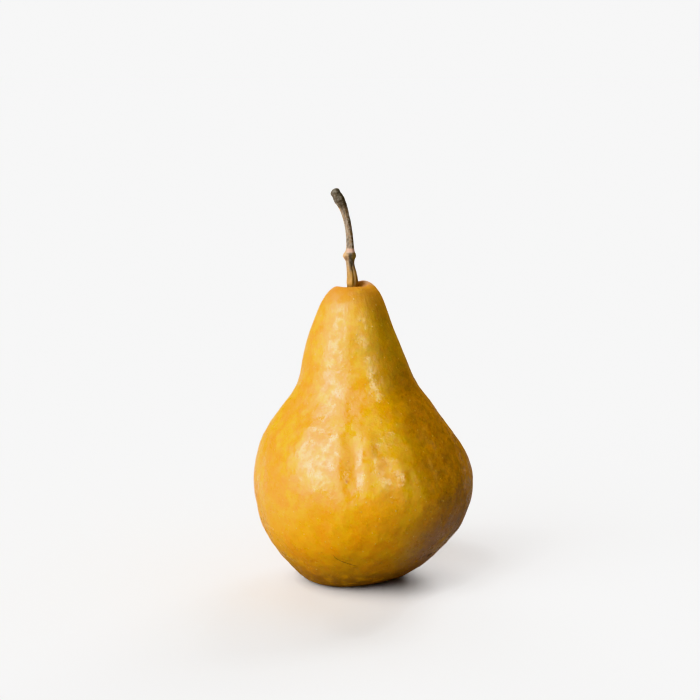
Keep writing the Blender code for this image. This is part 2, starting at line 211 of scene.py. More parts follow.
# Blotches of the skin, as (size, the noise's value at both edges, detail)
SKIN_BLOTCHES = {
    "amber": (11.0 * MM, 0.42, 0.58, 3.0),
    "straw": (16.0 * MM, 0.25, 0.65, 2.0),
    "olive": (9.0 * MM, 0.30, 0.60, 2.0),
    # Dark mottles that deepen the painted shade of the right flank
    "umber_and_shade": (5.5 * MM, 0.44, 0.60, 4.0),
    "mottle": (2.6 * MM, 0.38, 0.62, 3.0),
    "grain": (0.7 * MM, 0.36, 0.64, 2.0),
    "dusk": (1.1 * MM, 0.50, 0.68, 3.0),
    "blush": (4.0 * MM, 0.10, 0.50, 3.0),
    # Blotches of the painted shade and sheen on the low right flank
    "bloom_shade_and_sheen": (6.0 * MM, 0.25, 0.55, 4.0),
    "base": (4.0 * MM, 0.30, 0.55, 4.0),
    "rear": (4.0 * MM, 0.46, 0.62, 4.0),
    # Blotches of the pale scuffs on the low right flank, partly painted sheen
    "scuff_and_sheen": (2.0 * MM, 0.36, 0.64, 3.0),
    "clouds": (3.4 * MM, 0.40, 0.60, 5.0),
}

# Patches of the skin, as (degrees from the front to the right, height, radius, raggedness).
# The polished ones are rubbed shiny.
SKIN_PATCHES = {
    "olive": (
        (4.0, 81.0 * MM, 9.0 * MM, 0.8),
        (29.0, 80.0 * MM, 10.0 * MM, 0.8),
        (-160.0, 70.0 * MM, 30.0 * MM, 0.8),
    ),
    "rim": ((125.0, 100.4 * MM, 5.0 * MM, 0.6),),
    # The painted shade and sheen on the low right flank
    "bloom_shade_and_sheen": ((54.0, 15.5 * MM, 22.0 * MM, 0.7),),
    "rear": ((150.0, 40.0 * MM, 30.0 * MM, 1.2),),
    # Pale scuffs on the low right flank, partly painted sheen
    "scuff_and_sheen": ((30.0, 16.5 * MM, 6.0 * MM, 1.4), (58.0, 17.5 * MM, 8.0 * MM, 1.6)),
    "bruise": ((52.2, 12.8 * MM, 1.6 * MM, 1.4),),
    "mark": ((-8.2, 41.8 * MM, 0.9 * MM, 0.6),),
    "polished": ((16.0, 70.5 * MM, 7.0 * MM, 1.4), (24.0, 65.0 * MM, 5.0 * MM, 1.4)),
}

# Specks of the skin, as (spacing, radius, share of the places that have one)
DARK_SPECKS = (13.0 * MM, 0.30 * MM, 0.10)
PALE_SPECKS = (2.4 * MM, 0.30 * MM, 0.5)

# The stem's middle line from the bottom of its root, as (to the right, to the back, up) from
# the middle of the socket's mouth, and its radius along it
STEM_LINE = (
    (0.0 * MM, 0.0 * MM, -4.4 * MM),
    (0.0 * MM, 0.0 * MM, -1.0 * MM),
    (0.2 * MM, 0.1 * MM, 3.5 * MM),
    (-0.5 * MM, 0.4 * MM, 8.5 * MM),
    (-0.6 * MM, 0.8 * MM, 14.5 * MM),
    (-1.2 * MM, 1.2 * MM, 20.5 * MM),
    (-2.7 * MM, 1.4 * MM, 26.5 * MM),
    (-5.3 * MM, 1.5 * MM, 31.7 * MM),
)
STEM_RADII = (
    (0.00, 1.55 * MM),
    (0.12, 1.65 * MM),
    (0.17, 1.95 * MM),
    (0.24, 1.75 * MM),
    (0.33, 1.40 * MM),
    (0.42, 1.45 * MM),
    (0.52, 1.30 * MM),
    (0.72, 1.25 * MM),
    (0.84, 1.40 * MM),
    (0.93, 1.80 * MM),
    (1.00, 1.70 * MM),
)
STEM_TIP_ROUNDING = 1.6 * MM
STEM_TIP_STEPS = 8
STEM_NODE_AT = 0.415
STEM_NODE_LENGTH = 0.034
STEM_NODE_SWELL = 0.12 * MM
STEM_KNOB_SWELL = 1.0 * MM
STEM_KNOBS = ((math.radians(5.0), 0.38), (math.radians(185.0), 0.85))
STEM_GROOVE_SIDE = math.radians(-70.0)
STEM_GROOVE_WIDTH = math.radians(20.0)

# Where the bark's features fade along the stem, as shares of its length
RIDGES_FADE = (0.13, 0.26)
# The foot is painted darker as shade where the stem goes down into its socket
SOCKET_SHADE_FADE = (0.17, 0.13)
GROOVE_FADE_BELOW = (0.13, 0.18)
GROOVE_FADE_ABOVE = (0.40, 0.30)
WEATHERED_FADE = (0.22, 0.42)
RING_FADE_BELOW = (0.440, 0.450)
RING_FADE_ABOVE = (0.488, 0.474)
TIP_FADE = (0.80, 0.88)
KNOBBLY_FADE = (0.82, 0.92)

# The side with the node's ring and the groove, and the side away from the lights, which is painted
# darker as shade in a reddish brown stripe
STEM_FRONT = (0.34, -0.94, 0.0)
STEM_SHADE_SIDE = (0.87, -0.50, 0.0)

# The bark's streaks and blotches, given as for the skin
BARK_CRACKS = (15.0, 3.0 * MM, 0.48, 0.62)
BARK_GRAIN = (34.0, 3.0 * MM, 0.3, 0.7)
BARK_BLOTCHES = (1.8 * MM, 0.4, 0.65, 3.0)
BARK_FLAKES = (0.65 * MM, 0.46, 0.64, 3.0)

# The calyx's cup, as shares of its radius and of its height downward, and its sepals and stamens
CUP_RADIUS = 2.6 * MM
CUP_HEIGHT = 1.2 * MM
CUP_OUTLINE = (
    (0.85, 0.00),
    (1.00, 0.40),
    (0.90, 1.00),
    (0.60, 0.90),
    (0.45, 0.45),
)
CUP_HOLLOW_DROP = 0.40
SEPAL_ROOT = (0.55, 0.55)
SEPAL_DROP = 1.75 * MM
SEPAL_CUPPING = 1.2 * MM
SEPAL_REACH_SHARE = 0.72
STAMEN_ROOT = (0.70, 0.70)

# Healed scars on the skin, as how strong each one is and its points (degrees from the front to
# the right, height)
SCARS = (
    (
        1.0,
        (-16.9, 17.2 * MM),
        (-14.9, 15.4 * MM),
        (-12.0, 14.2 * MM),
        (-7.6, 13.0 * MM),
        (-2.0, 12.2 * MM),
    ),
    (0.35, (-27.0, 17.6 * MM), (-22.0, 17.0 * MM), (-17.5, 16.4 * MM)),
    (0.35, (-44.6, 19.8 * MM), (-40.8, 16.9 * MM), (-37.0, 14.1 * MM)),
    (0.8, (50.0, 12.2 * MM), (52.4, 12.9 * MM), (55.5, 12.6 * MM)),
    (0.7, (118.0, 58.0 * MM), (121.0, 53.0 * MM), (120.0, 47.0 * MM)),
    (0.9, (172.0, 30.0 * MM), (180.0, 27.5 * MM), (187.0, 28.0 * MM), (193.0, 26.0 * MM)),
    (0.6, (-128.0, 70.0 * MM), (-131.0, 66.5 * MM), (-137.0, 64.0 * MM)),
)

# The place that a scar is pressed towards, and how much darker the mottling of the cork is
FRUIT_HEART = (0.0, 0.0, 40.0 * MM)
CORK_SHADE = 0.8

# Marks on the bark, as (degrees from the front to the right, share of the stem's length, radius,
# raggedness, how strong, the setting with its colour)
BARK_MARKS = (
    (8.0, 0.418, 1.6 * MM, 0.8, 1.0, "crack_and_shade"),
    (25.0, 0.385, 1.7 * MM, 1.0, 1.0, "crack_and_shade"),
    (20.0, 0.345, 1.6 * MM, 1.2, 0.9, "crack_and_shade"),
    (18.0, 0.300, 1.4 * MM, 1.2, 0.8, "crack_and_shade"),
    (62.0, 0.190, 1.8 * MM, 1.0, 0.6, "rust_and_shade"),
    (-88.0, 0.420, 2.7 * MM, 0.5, 1.0, "bud"),
    (-50.0, 0.395, 1.3 * MM, 1.0, 0.7, "rust_and_shade"),
    (85.0, 0.412, 2.5 * MM, 0.5, 1.0, "olive"),
    (-75.0, 0.835, 1.2 * MM, 0.5, 1.0, "bud"),
    (-60.0, 0.880, 1.1 * MM, 1.0, 0.6, "flake"),
)
BARK_MARK_REACH = 1.4

# How finely the pieces are divided before their relief is added
FRUIT_SIDES = 88
FRUIT_RING_STEP = 2.25 * MM
BASIN_RING_STEP = 1.1 * MM
STEM_RING_STEP = 0.17 * MM
CUP_SIDES = 48
CUP_OUTLINE_STEP = 0.12
SCAR_STEP = 0.25 * MM
FLOOR_SIDES = 96

# Soft lights, as (how wide, azimuth from the front to the right, elevation) in degrees
LIGHTS = {
    "key_light": (46.0, -53.0, 24.0),
    "upper_light": (32.0, -52.0, 57.0),
    "fill_light": (50.0, -18.0, 32.0),
    "rear_left_light": (36.0, -162.0, 34.0),
    "rear_right_light": (30.0, 155.0, 34.0),
    "key_shine": (38.0, -50.0, 26.0),
    "upper_shine": (22.0, -50.0, 52.0),
    "side_shine": (24.0, 34.0, 33.0),
}

# Where the floor begins to throw back more light, and where it throws back the most
LEFT_BOUNCE_FADE = (-35.0 * MM, -110.0 * MM)

# The camera stands where the photograph's did
LENS = 85.0
SENSOR = 36.0
CAMERA_AZIMUTH = 0.0
CAMERA_ELEVATION = math.radians(10.0)
CAMERA_DISTANCE = 0.554
CAMERA_NEAREST = 0.01
CAMERA_FARTHEST = 50.0
CAMERA_TARGET = Vector((-4.6 * MM, 0.0, 78.7 * MM))


# Shapes that follow a rule


def ease(zero_at, one_at, value):
    """A smooth change from 0 at one value to 1 at the other."""
    share = min(1.0, max(0.0, (value - zero_at) / (one_at - zero_at)))
    return share * share * (3.0 - 2.0 * share)


def smooth_line(points, step):
    """Points about one step apart along a smooth curve through the given ones."""
    points = [Vector(p) for p in points]
    padded = [2.0 * points[0] - points[1], *points, 2.0 * points[-1] - points[-2]]
    line = [points[0]]
    for before, start, end, after in zip(padded, padded[1:], padded[2:], padded[3:]):
        pieces = max(1, round((end - start).length / step))
        for i in range(1, pieces + 1):
            share = i / pieces
            line.append(
                start
                + (end - before) * (share / 2.0)
                + (before - 2.5 * start + 2.0 * end - 0.5 * after) * share**2
                + (1.5 * start - 0.5 * before - 1.5 * end + 0.5 * after) * share**3
            )
    return line


def read_table(table, at):
    """The rest of a table's row at a value of its first column, smoothly between its rows."""
    places = [row[0] for row in table]
    rows = [Vector(row[1:]) if len(row) > 2 else row[1] for row in table]
    last = len(table) - 1
    at = min(max(at, places[0]), places[last])
    i = max(k for k in range(last) if places[k] <= at)
    slopes = []
    for k in (i, i + 1):
        low = max(k - 1, 0)
        high = min(k + 1, last)
        slopes.append((rows[high] - rows[low]) / (places[high] - places[low]))
    width = places[i + 1] - places[i]
    share = (at - places[i]) / width
    eased = share * share * (3.0 - 2.0 * share)
    bend = slopes[0] * (share**3 - 2.0 * share**2 + share) + slopes[1] * (share**3 - share**2)
    return rows[i] + (rows[i + 1] - rows[i]) * eased + bend * width


def middle_at(height):
    """Where the fruit's middle line is at this height."""
    right, back = read_table(MIDDLE_LINE, height)
    return Vector((right, back, height))


def across(angle):
    """The way out from the middle line at this angle, a little shorter to the front and back."""
    return Vector((math.cos(angle), math.sin(angle) * BELLY_DEPTH / BELLY_WIDTH, 0.0))


def spot_lobe(angle, height):
    """How much wider the fruit is at this angle because of the flat spot's lobes."""
    return 1.0 + SPOT_LOBE_SHARE * ease(*SPOT_LOBE_FADE_ABOVE, height) * math.cos(SPOT_LOBES * angle)


def unevenness(angle, middle, radius, height):
    """How far the flesh stands out here because of its swellings, ribs and furrows."""
    outward = Vector((math.cos(angle), math.sin(angle), 0.0))
    raised = SWELLING_HEIGHT * noise.noise((middle + outward * radius) / SWELLING_SIZE)
    on_belly = ease(*RIB_FADE_BELOW, height) * ease(*RIB_FADE_ABOVE, height)
    rib_place = outward * RIBS_ROUND + Vector((0.0, 0.0, height / RIB_LENGTH))
    raised += RIB_HEIGHT * noise.noise(rib_place) * on_belly
    for degrees, furrow_height, half_width, half_length, depth in FURROWS:
        turn = angle - math.radians(degrees - 90.0)
        turn = (turn + math.pi) % (2.0 * math.pi) - math.pi
        aside = turn * radius / half_width
        along = (height - furrow_height) / half_length
        raised -= depth * math.exp(-aside * aside - along * along)
    return raised * ease(*SWELLING_FADE_BELOW, height) * ease(*SWELLING_FADE_INSIDE, radius)


def crown_rise(angle, radius, height):
    """How far the crown is lifted here, because its rim is uneven."""
    in_crown = ease(*CROWN_FADE_BELOW, height) * ease(*CROWN_FADE_INSIDE, radius)
    slope = sum(share * math.cos(sides * (angle - side)) for sides, share, side in CROWN_WAVES)
    return slope * radius * in_crown


def basin_point(angle, radius, height):
    """A point of the basin underneath, whose wall is puckered half-way up."""
    wall_share = height / BASIN_DEPTH
    puckered = ease(*PUCKER_FADE_BELOW, wall_share) * ease(*PUCKER_FADE_ABOVE, wall_share)
    point = middle_at(0.0) + across(angle) * radius * spot_lobe(angle, 0.0)
    point.z = height + PUCKER_HEIGHT * puckered * math.cos(PUCKERS * angle)
    return point


def flank_point(angle, radius, height):
    """A point of the outer skin, between the flat spot's edge and the socket's mouth."""
    middle = middle_at(height)
    reach = radius * spot_lobe(angle, height)
    reach += unevenness(angle, middle, radius, height)
    point = middle + across(angle) * reach
    point.z += crown_rise(angle, reach, height)
    return point


def socket_mouth():
    """The middle of the stem's socket where it opens on the crown."""
    mouth = middle_at(CROWN_HEIGHT)
    mouth.z = FLANK_OUTLINE[-1][1] * CROWN_HEIGHT
    return mouth


def fruit_angles():
    return [2.0 * math.pi * i / FRUIT_SIDES for i in range(FRUIT_SIDES)]


@functools.cache
def fruit_rows():
    """Rings of points over the whole fruit, from the basin's middle to the socket's floor."""
    half = BELLY_WIDTH / 2.0
    basin = [(r * half, z * BASIN_DEPTH, 0.0) for r, z in BASIN_OUTLINE]
    flank = [(r * half, z * CROWN_HEIGHT, 0.0) for r, z in FLANK_OUTLINE]
    rows = [[middle_at(0.0) + Vector((0.0, 0.0, BASIN_DEPTH))]]
    for place in smooth_line(basin, BASIN_RING_STEP)[1:]:
        rows.append([basin_point(angle, place.x, max(0.0, place.y)) for angle in fruit_angles()])
    for place in smooth_line(flank, FRUIT_RING_STEP):
        rows.append([flank_point(angle, place.x, max(0.0, place.y)) for angle in fruit_angles()])
    mouth = socket_mouth()
    for depth in (SOCKET_LIP, SOCKET_DEPTH / 2.0, SOCKET_DEPTH):
        floor = mouth - Vector((0.0, 0.0, depth))
        rows.append([floor + across(angle) * SOCKET_RADIUS for angle in fruit_angles()])
    rows.append([floor])
    return rows


@functools.cache
def fruit_place():
    """How far the rule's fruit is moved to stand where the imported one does."""
    points = [point for row in fruit_rows() for point in row]
    right = (max(p.x for p in points) + min(p.x for p in points)) / 2.0
    back = (max(p.y for p in points) + min(p.y for p in points)) / 2.0
    middle = (FRUIT_LOW + FRUIT_HIGH) / 2.0
    return Vector((middle.x - right, middle.y - back, 0.0))


# Meshes and node trees


def mesh_from_rows(name, rows, tags):
    """A closed mesh from rows of points round an axis, with attributes that say where each is."""
    shape = bmesh.new()
    rings = [[shape.verts.new(point) for point in row] for row in rows]
    for lower, upper in zip(rings, rings[1:]):
        sides = max(len(lower), len(upper))
        for i in range(sides):
            j = (i + 1) % sides
            corners = [lower[i % len(lower)], lower[j % len(lower)]]
            corners += [upper[j % len(upper)], upper[i % len(upper)]]
            shape.faces.new(list(dict.fromkeys(corners)))
    bmesh.ops.recalc_face_normals(shape, faces=shape.faces)
    mesh = bpy.data.meshes.new(name)
    shape.to_mesh(mesh)
    shape.free()
    mark_points(mesh, tags)
    return mesh


def mesh_of_lines(name, lines, tags):
    """A mesh of loose edges along each line, with attributes that say where each point is."""
    points = []
    edges = []
    for line in lines:
        edges += [(i, i + 1) for i in range(len(points), len(points) + len(line) - 1)]
        points += line
    mesh = bpy.data.meshes.new(name)
    mesh.from_pydata(points, edges, [])
    mark_points(mesh, tags)
    return mesh


def mark_points(mesh, tags):
    """Gives a mesh's points named numbers or vectors, listed in the points' order."""
    for label, values in tags.items():
        is_vector = isinstance(values[0], Vector)
        tag = mesh.attributes.new(label, "FLOAT_VECTOR" if is_vector else "FLOAT", "POINT")
        for item, value in zip(tag.data, values):
            if is_vector:
                item.vector = value
            else:
                item.value = value


def add_object(name, data):
    old = bpy.data.objects.get(name)
    if old:
        bpy.data.objects.remove(old, do_unlink=True)
    made = bpy.data.objects.new(name, data)
    bpy.context.scene.collection.objects.link(made)
    return made


class Value:
    """A node's output to reckon with: every sum, difference, product or quotient is one node."""

    def __init__(self, tree, socket):
        self.tree = tree
        self.socket = socket

    def __add__(self, other):
        return calc(self.tree, "ADD", self, other)

    def __sub__(self, other):
        return calc(self.tree, "SUBTRACT", self, other)

    def __rsub__(self, other):
        return calc(self.tree, "SUBTRACT", other, self)

    def __mul__(self, other):
        return calc(self.tree, "MULTIPLY", self, other)

    def __truediv__(self, other):
        return calc(self.tree, "DIVIDE", self, other)

    def __rtruediv__(self, other):
        return calc(self.tree, "DIVIDE", other, self)


def connect(tree, socket, value):
    """Links a socket to a node or to one of its outputs, or sets the socket's own value."""
    if isinstance(value, bpy.types.Node):
        value = value.outputs[0]
    if isinstance(value, Value):
        value = value.socket
    if isinstance(value, bpy.types.NodeSocket):
        tree.links.new(value, socket)
    else:
        socket.default_value = value


def add(tree, kind, inputs=None, **settings):
    """Adds a node with its settings and fills its inputs, which go by name or by number."""
    node = tree.nodes.new(kind)
    for name, value in settings.items():
        setattr(node, name, value)
    for key, value in (inputs or {}).items():
        connect(tree, node.inputs[key], value)
    return node


def output_of(tree, kind, inputs=None, output=0, **settings):
    """Adds a node and gives one of its outputs."""
    return Value(tree, add(tree, kind, inputs, **settings).outputs[output])


def calc(tree, operation, *values):
    return output_of(tree, "ShaderNodeMath", dict(enumerate(values)), operation=operation)


def either(first, second):
    """Where one mask or the other is."""
    return calc(first.tree, "MAXIMUM", first, second)


def vector_calc(tree, operation, *values):
    output = "Value" if operation in ("DOT_PRODUCT", "DISTANCE") else "Vector"
    inputs = dict(enumerate(values))
    return output_of(tree, "ShaderNodeVectorMath", inputs, output, operation=operation)


def scaled(vector, factor):
    inputs = {"Vector": vector, "Scale": factor}
    return output_of(vector.tree, "ShaderNodeVectorMath", inputs, operation="SCALE")


def parts(vector):
    """A vector's three numbers."""
    split = add(vector.tree, "ShaderNodeSeparateXYZ", {0: vector})
    return [Value(vector.tree, socket) for socket in split.outputs]


def vector_of(tree, right, back, up):
    return output_of(tree, "ShaderNodeCombineXYZ", {0: right, 1: back, 2: up})


def fade(value, low, high):
    """0 at one value and 1 at the other, eased between."""
    inputs = {"Value": value, "From Min": low, "From Max": high}
    return output_of(value.tree, "ShaderNodeMapRange", inputs, interpolation_type="SMOOTHSTEP")


def mixed(factor, first, second):
    """The first colour where the factor is 0, and the second where it is 1."""
    inputs = {0: factor, 6: first, 7: second}
    return output_of(factor.tree, "ShaderNodeMix", inputs, 2, data_type="RGBA")


def lumps(place, size, detail=2.0, roughness=0.5, output=0):
    """Noise with lumps of this size."""
    inputs = {"Vector": place, "Scale": 1.0 / size, "Detail": detail, "Roughness": roughness}
    return output_of(place.tree, "ShaderNodeTexNoise", inputs, output)


def layer(place, size, height, detail=1.0):
    """One layer of relief: lumps of this size that rise and sink by this height."""
    return (lumps(place, size, detail) - 0.5) * height


def new_tree(name, kind, inputs, outputs):
    """A node tree with named sockets, given as (name, socket, default)."""
    tree = bpy.data.node_groups.new(name, kind)
    for label, socket, default in inputs:
        made = tree.interface.new_socket(label, in_out="INPUT", socket_type="NodeSocket" + socket)
        if default is not None:
            made.default_value = default
    for label, socket in outputs:
        tree.interface.new_socket(label, in_out="OUTPUT", socket_type="NodeSocket" + socket)
    sockets = tree.nodes.new("NodeGroupInput").outputs
    given = {label: Value(tree, sockets[label]) for label, _, _ in inputs}
    return tree, given, tree.nodes.new("NodeGroupOutput").inputs


def shared(name, build):
    """A shared node group, built on its first use."""
    return bpy.data.node_groups.get(name) or build(name)


def named(tree, name, kind="FLOAT"):
    return output_of(tree, "GeometryNodeInputNamedAttribute", {"Name": name}, data_type=kind)


def position(tree):
    return output_of(tree, "GeometryNodeInputPosition")


def moved(tree, geometry, offset):
    return add(tree, "GeometryNodeSetPosition", {"Geometry": geometry, "Offset": offset})


def random_number(tree, least, most, seed):
    """A random number for each point."""
    inputs = {2: least, 3: most, "Seed": seed}
    return output_of(tree, "FunctionNodeRandomValue", inputs, 1, data_type="FLOAT")


def tube(tree, line, sides, thickness):
    """A closed tube along a curve, as thick as is given for each of its points."""
    profile = add(tree, "GeometryNodeCurvePrimitiveCircle", {"Resolution": sides, "Radius": 1.0})
    inputs = {"Curve": line, "Profile Curve": profile, "Scale": thickness, "Fill Caps": True}
    return add(tree, "GeometryNodeCurveToMesh", inputs)


def finish_tree(tree, geometry, finish, result):
    """Ends a geometry tree: plain smooth faces with their material."""
    plain = add(tree, "GeometryNodeRealizeInstances", {"Geometry": geometry})
    smooth = add(tree, "GeometryNodeSetShadeSmooth", {"Geometry": plain})
    painted = add(tree, "GeometryNodeSetMaterial", {"Geometry": smooth, "Material": finish})
    connect(tree, result, painted)


def grown(name, start, tree, settings, **others):
    """Runs a geometry tree on a start object and keeps only its result, as a plain mesh object.

    An input of the tree takes the other value or the setting that has its name.
    """
    modifier = start.modifiers.new("growth", "NODES")
    modifier.node_group = tree
    for item in tree.interface.items_tree:
        key = item.name.lower().replace(" ", "_")
        value = others.get(key, getattr(settings, key, None))
        if item.in_out == "INPUT" and value is not None:
            modifier[item.identifier] = value
    bpy.context.view_layer.update()
    graph = bpy.context.evaluated_depsgraph_get()
    mesh = bpy.data.meshes.new_from_object(start.evaluated_get(graph))
    bpy.data.objects.remove(start, do_unlink=True)
    if not mesh.polygons:
        raise RuntimeError(f"{name} came out empty")
    mesh.name = name
    return add_object(name, mesh)


# Shader effects that several materials share


def use_group(tree, name, build, inputs):
    return output_of(tree, "ShaderNodeGroup", inputs, node_tree=shared(name, build))


def build_blotches(name):
    """Soft-edged blotches of one size. Low and High are the noise's values at their edges."""
    tree, given, result = new_tree(
        name,
        "ShaderNodeTree",
        (
            ("Place", "Vector", None),
            ("Size", "Float", 10.0 * MM),
            ("Detail", "Float", 2.0),
            ("Low", "Float", 0.45),
            ("High", "Float", 0.6),
        ),
        (("Mask", "Float"),),
    )
    cloud = lumps(given["Place"], given["Size"], given["Detail"], 0.6)
    connect(tree, result["Mask"], fade(cloud, given["Low"], given["High"]))
    return tree


def blotches(place, size, low, high, detail=2.0):
    values = {"Place": place, "Size": size, "Detail": detail, "Low": low, "High": high}
    return use_group(place.tree, "Blotches", build_blotches, values)


def build_specks(name):
    """Round specks in a share of cells that are one spacing apart."""
    tree, given, result = new_tree(
        name,
        "ShaderNodeTree",
        (
            ("Place", "Vector", None),
            ("Spacing", "Float", 5.0 * MM),
            ("Radius", "Float", 0.3 * MM),
            ("Share", "Float", 0.5),
        ),
        (("Mask", "Float"),),
    )
    inputs = {"Vector": given["Place"], "Scale": 1.0 / given["Spacing"]}
    cells = add(tree, "ShaderNodeTexVoronoi", inputs)
    away = Value(tree, cells.outputs["Distance"]) * given["Spacing"]
    dot = fade(away, given["Radius"], given["Radius"] * 0.5)
    draw = output_of(tree, "ShaderNodeSeparateColor", {0: cells.outputs["Color"]})
    kept = calc(tree, "LESS_THAN", draw, given["Share"])
    connect(tree, result["Mask"], dot * kept)
    return tree


def specks(place, spacing, radius, share):
    values = {"Place": place, "Spacing": spacing, "Radius": radius, "Share": share}
    return use_group(place.tree, "Specks", build_specks, values)


def build_streaks(name):
    """Streaks that run along a piece. Way Out is the direction from its middle line."""
    tree, given, result = new_tree(
        name,
        "ShaderNodeTree",
        (
            ("Way Out", "Vector", None),
            ("Along", "Float", 0.0),
            ("Count", "Float", 12.0),
            ("Length", "Float", 10.0 * MM),
            ("Low", "Float", 0.4),
            ("High", "Float", 0.6),
        ),
        (("Mask", "Float"),),
    )
    turned = scaled(given["Way Out"], given["Count"] / (2.0 * math.pi))
    shift = vector_of(tree, 0.0, 0.0, given["Along"] / given["Length"])
    lines = lumps(vector_calc(tree, "ADD", turned, shift), 1.0)
    connect(tree, result["Mask"], fade(lines, given["Low"], given["High"]))
    return tree


def streaks(way_out, along, count, length, low, high):
    values = {"Way Out": way_out, "Along": along, "Count": count, "Length": length}
    return use_group(way_out.tree, "Streaks", build_streaks, values | {"Low": low, "High": high})


def build_patch(name):
    """1 at a place on the piece, fading to 0 at a radius whose edge is ragged."""
    tree, given, result = new_tree(
        name,
        "ShaderNodeTree",
        (
            ("Place", "Vector", None),
            ("Centre", "Vector", None),
            ("Radius", "Float", 10.0 * MM),
            ("Raggedness", "Float", 0.5),
        ),
        (("Mask", "Float"),),
    )
    away = vector_calc(tree, "DISTANCE", given["Place"], given["Centre"])
    ragged = layer(given["Place"], given["Radius"] * 0.5, given["Raggedness"], 4.0)
    connect(tree, result["Mask"], fade(away / given["Radius"] + ragged, 1.0, 0.2))
    return tree


def patch(place, centre, radius, raggedness):
    values = {"Place": place, "Centre": centre, "Radius": radius, "Raggedness": raggedness}
    return use_group(place.tree, "Patch", build_patch, values)


def new_material(name):
    """A node material, and its tree and Principled shader."""
    old = bpy.data.materials.get(name)
    if old:
        bpy.data.materials.remove(old)
    made = bpy.data.materials.new(name)
    made.use_nodes = True
    return made, made.node_tree, made.node_tree.nodes["Principled BSDF"]


def attribute(tree, name, output="Fac"):
    return output_of(tree, "ShaderNodeAttribute", output=output, attribute_name=name)


def object_place(tree):
    return output_of(tree, "ShaderNodeTexCoord", output="Object")


def facing(way_out, side):
    """How much a surface faces this side: 1 straight towards it, and 0 at a right angle."""
    return vector_calc(way_out.tree, "DOT_PRODUCT", way_out, side)


def layered(settings, ground, layers):
    """A ground colour under others, from the lowest up, as (setting, how much, where)."""
    colour = getattr(settings, ground)
    for name, strength, mask in layers:
        colour = mixed(mask * strength, colour, getattr(settings, name))
    return colour


def bumped(shader, height, distance):
    """Feeds a height to the shader's normal."""
    bump = add(height.tree, "ShaderNodeBump", {"Height": height, "Distance": distance})
    connect(height.tree, shader.inputs["Normal"], bump)


# The fruit


def skin_spot(degrees, height):
    """A point on the fruit's outer skin, from degrees (front to right) and a height."""
    half = BELLY_WIDTH / 2.0
    flank = [(z * CROWN_HEIGHT, r * half) for r, z in FLANK_OUTLINE[:-1]]
    angle = math.radians(degrees - 90.0)
    return flank_point(angle, read_table(flank, height), height) + fruit_place()


def skin_blotches(place, name):
    return blotches(place, *SKIN_BLOTCHES[name])


def skin_patches(place, name):
    """The masks of the skin's patches of this name."""
    spots = SKIN_PATCHES[name]
    return [patch(place, skin_spot(turn, height), *edge) for turn, height, *edge in spots]


def skin_patch(place, name):
    """Where the skin is in any patch of this name."""
    return functools.reduce(either, skin_patches(place, name))


def russet_mask(place, height, reach):
    """Where the skin is corky: on the base, in a patch at the back and in the crown's cavity."""
    base = fade(height, *BASE_FADE) * skin_blotches(place, "base")
    rear = skin_patch(place, "rear") * skin_blotches(place, "rear")
    cavity = fade(height, *CAVITY_FADE_BELOW) * fade(reach, *CAVITY_FADE_OUTSIDE)
    return either(either(base * 0.8, rear * 0.6), cavity * 0.9)


def skin_layers(place, height, way_out, russet):
    """The colours over the skin's gold, from the lowest up, as (setting, how much, where), some of
    them painted shade and sheen on the right flank.
    """
    low_belly = fade(height, *LOW_BELLY_FADE)
    amber = skin_blotches(place, "amber") * (low_belly * 0.35 + 0.55)
    # Painted shade: the flank facing right and back is darker, less so above the waist
    flank_shade = fade(facing(way_out, FLANK_SHADE_SIDE), *FLANK_SHADE_FADE)
    flank_shade = flank_shade * (0.95 - fade(height, *WAIST_FADE) * 0.5)
    return (
        ("amber", 1.0, either(amber, low_belly * 0.55)),
        ("straw", 0.75, fade(height, *NECK_FADE) * skin_blotches(place, "straw")),
        ("olive", 0.4, skin_patch(place, "olive") * skin_blotches(place, "olive")),
        ("flank_shade", 1.0, flank_shade),
        # Dark mottles, partly painted shade, only on that flank
        ("umber_and_shade", 0.5, flank_shade * skin_blotches(place, "umber_and_shade")),
        ("amber", 0.42, skin_blotches(place, "mottle")),
        ("straw", 0.26, skin_blotches(place, "grain")),
        ("olive", 0.14, skin_blotches(place, "dusk")),
        ("blush", 0.95, fade(height, *BLUSH_FADE) * skin_blotches(place, "blush")),
        ("bloom_shade_and_sheen", 0.85, skin_patch(place, "rim")),
        # Painted shade and sheen: a greyish brown over the low right flank
        ("bloom_shade_and_sheen", 0.85, skin_patch(place, "bloom_shade_and_sheen") * skin_blotches(place, "bloom_shade_and_sheen")),
        ("russet", 1.0, russet),
        # Pale scuffs, partly a painted sheen, on the low right flank
        ("lenticel", 0.45, skin_patch(place, "scuff_and_sheen") * skin_blotches(place, "scuff_and_sheen")),
        ("speck", 0.6, either(specks(place, *DARK_SPECKS), skin_patch(place, "bruise"))),
        ("mark", 0.9, skin_patch(place, "mark")),
        ("lenticel", 0.5, specks(place, *PALE_SPECKS)),
    )


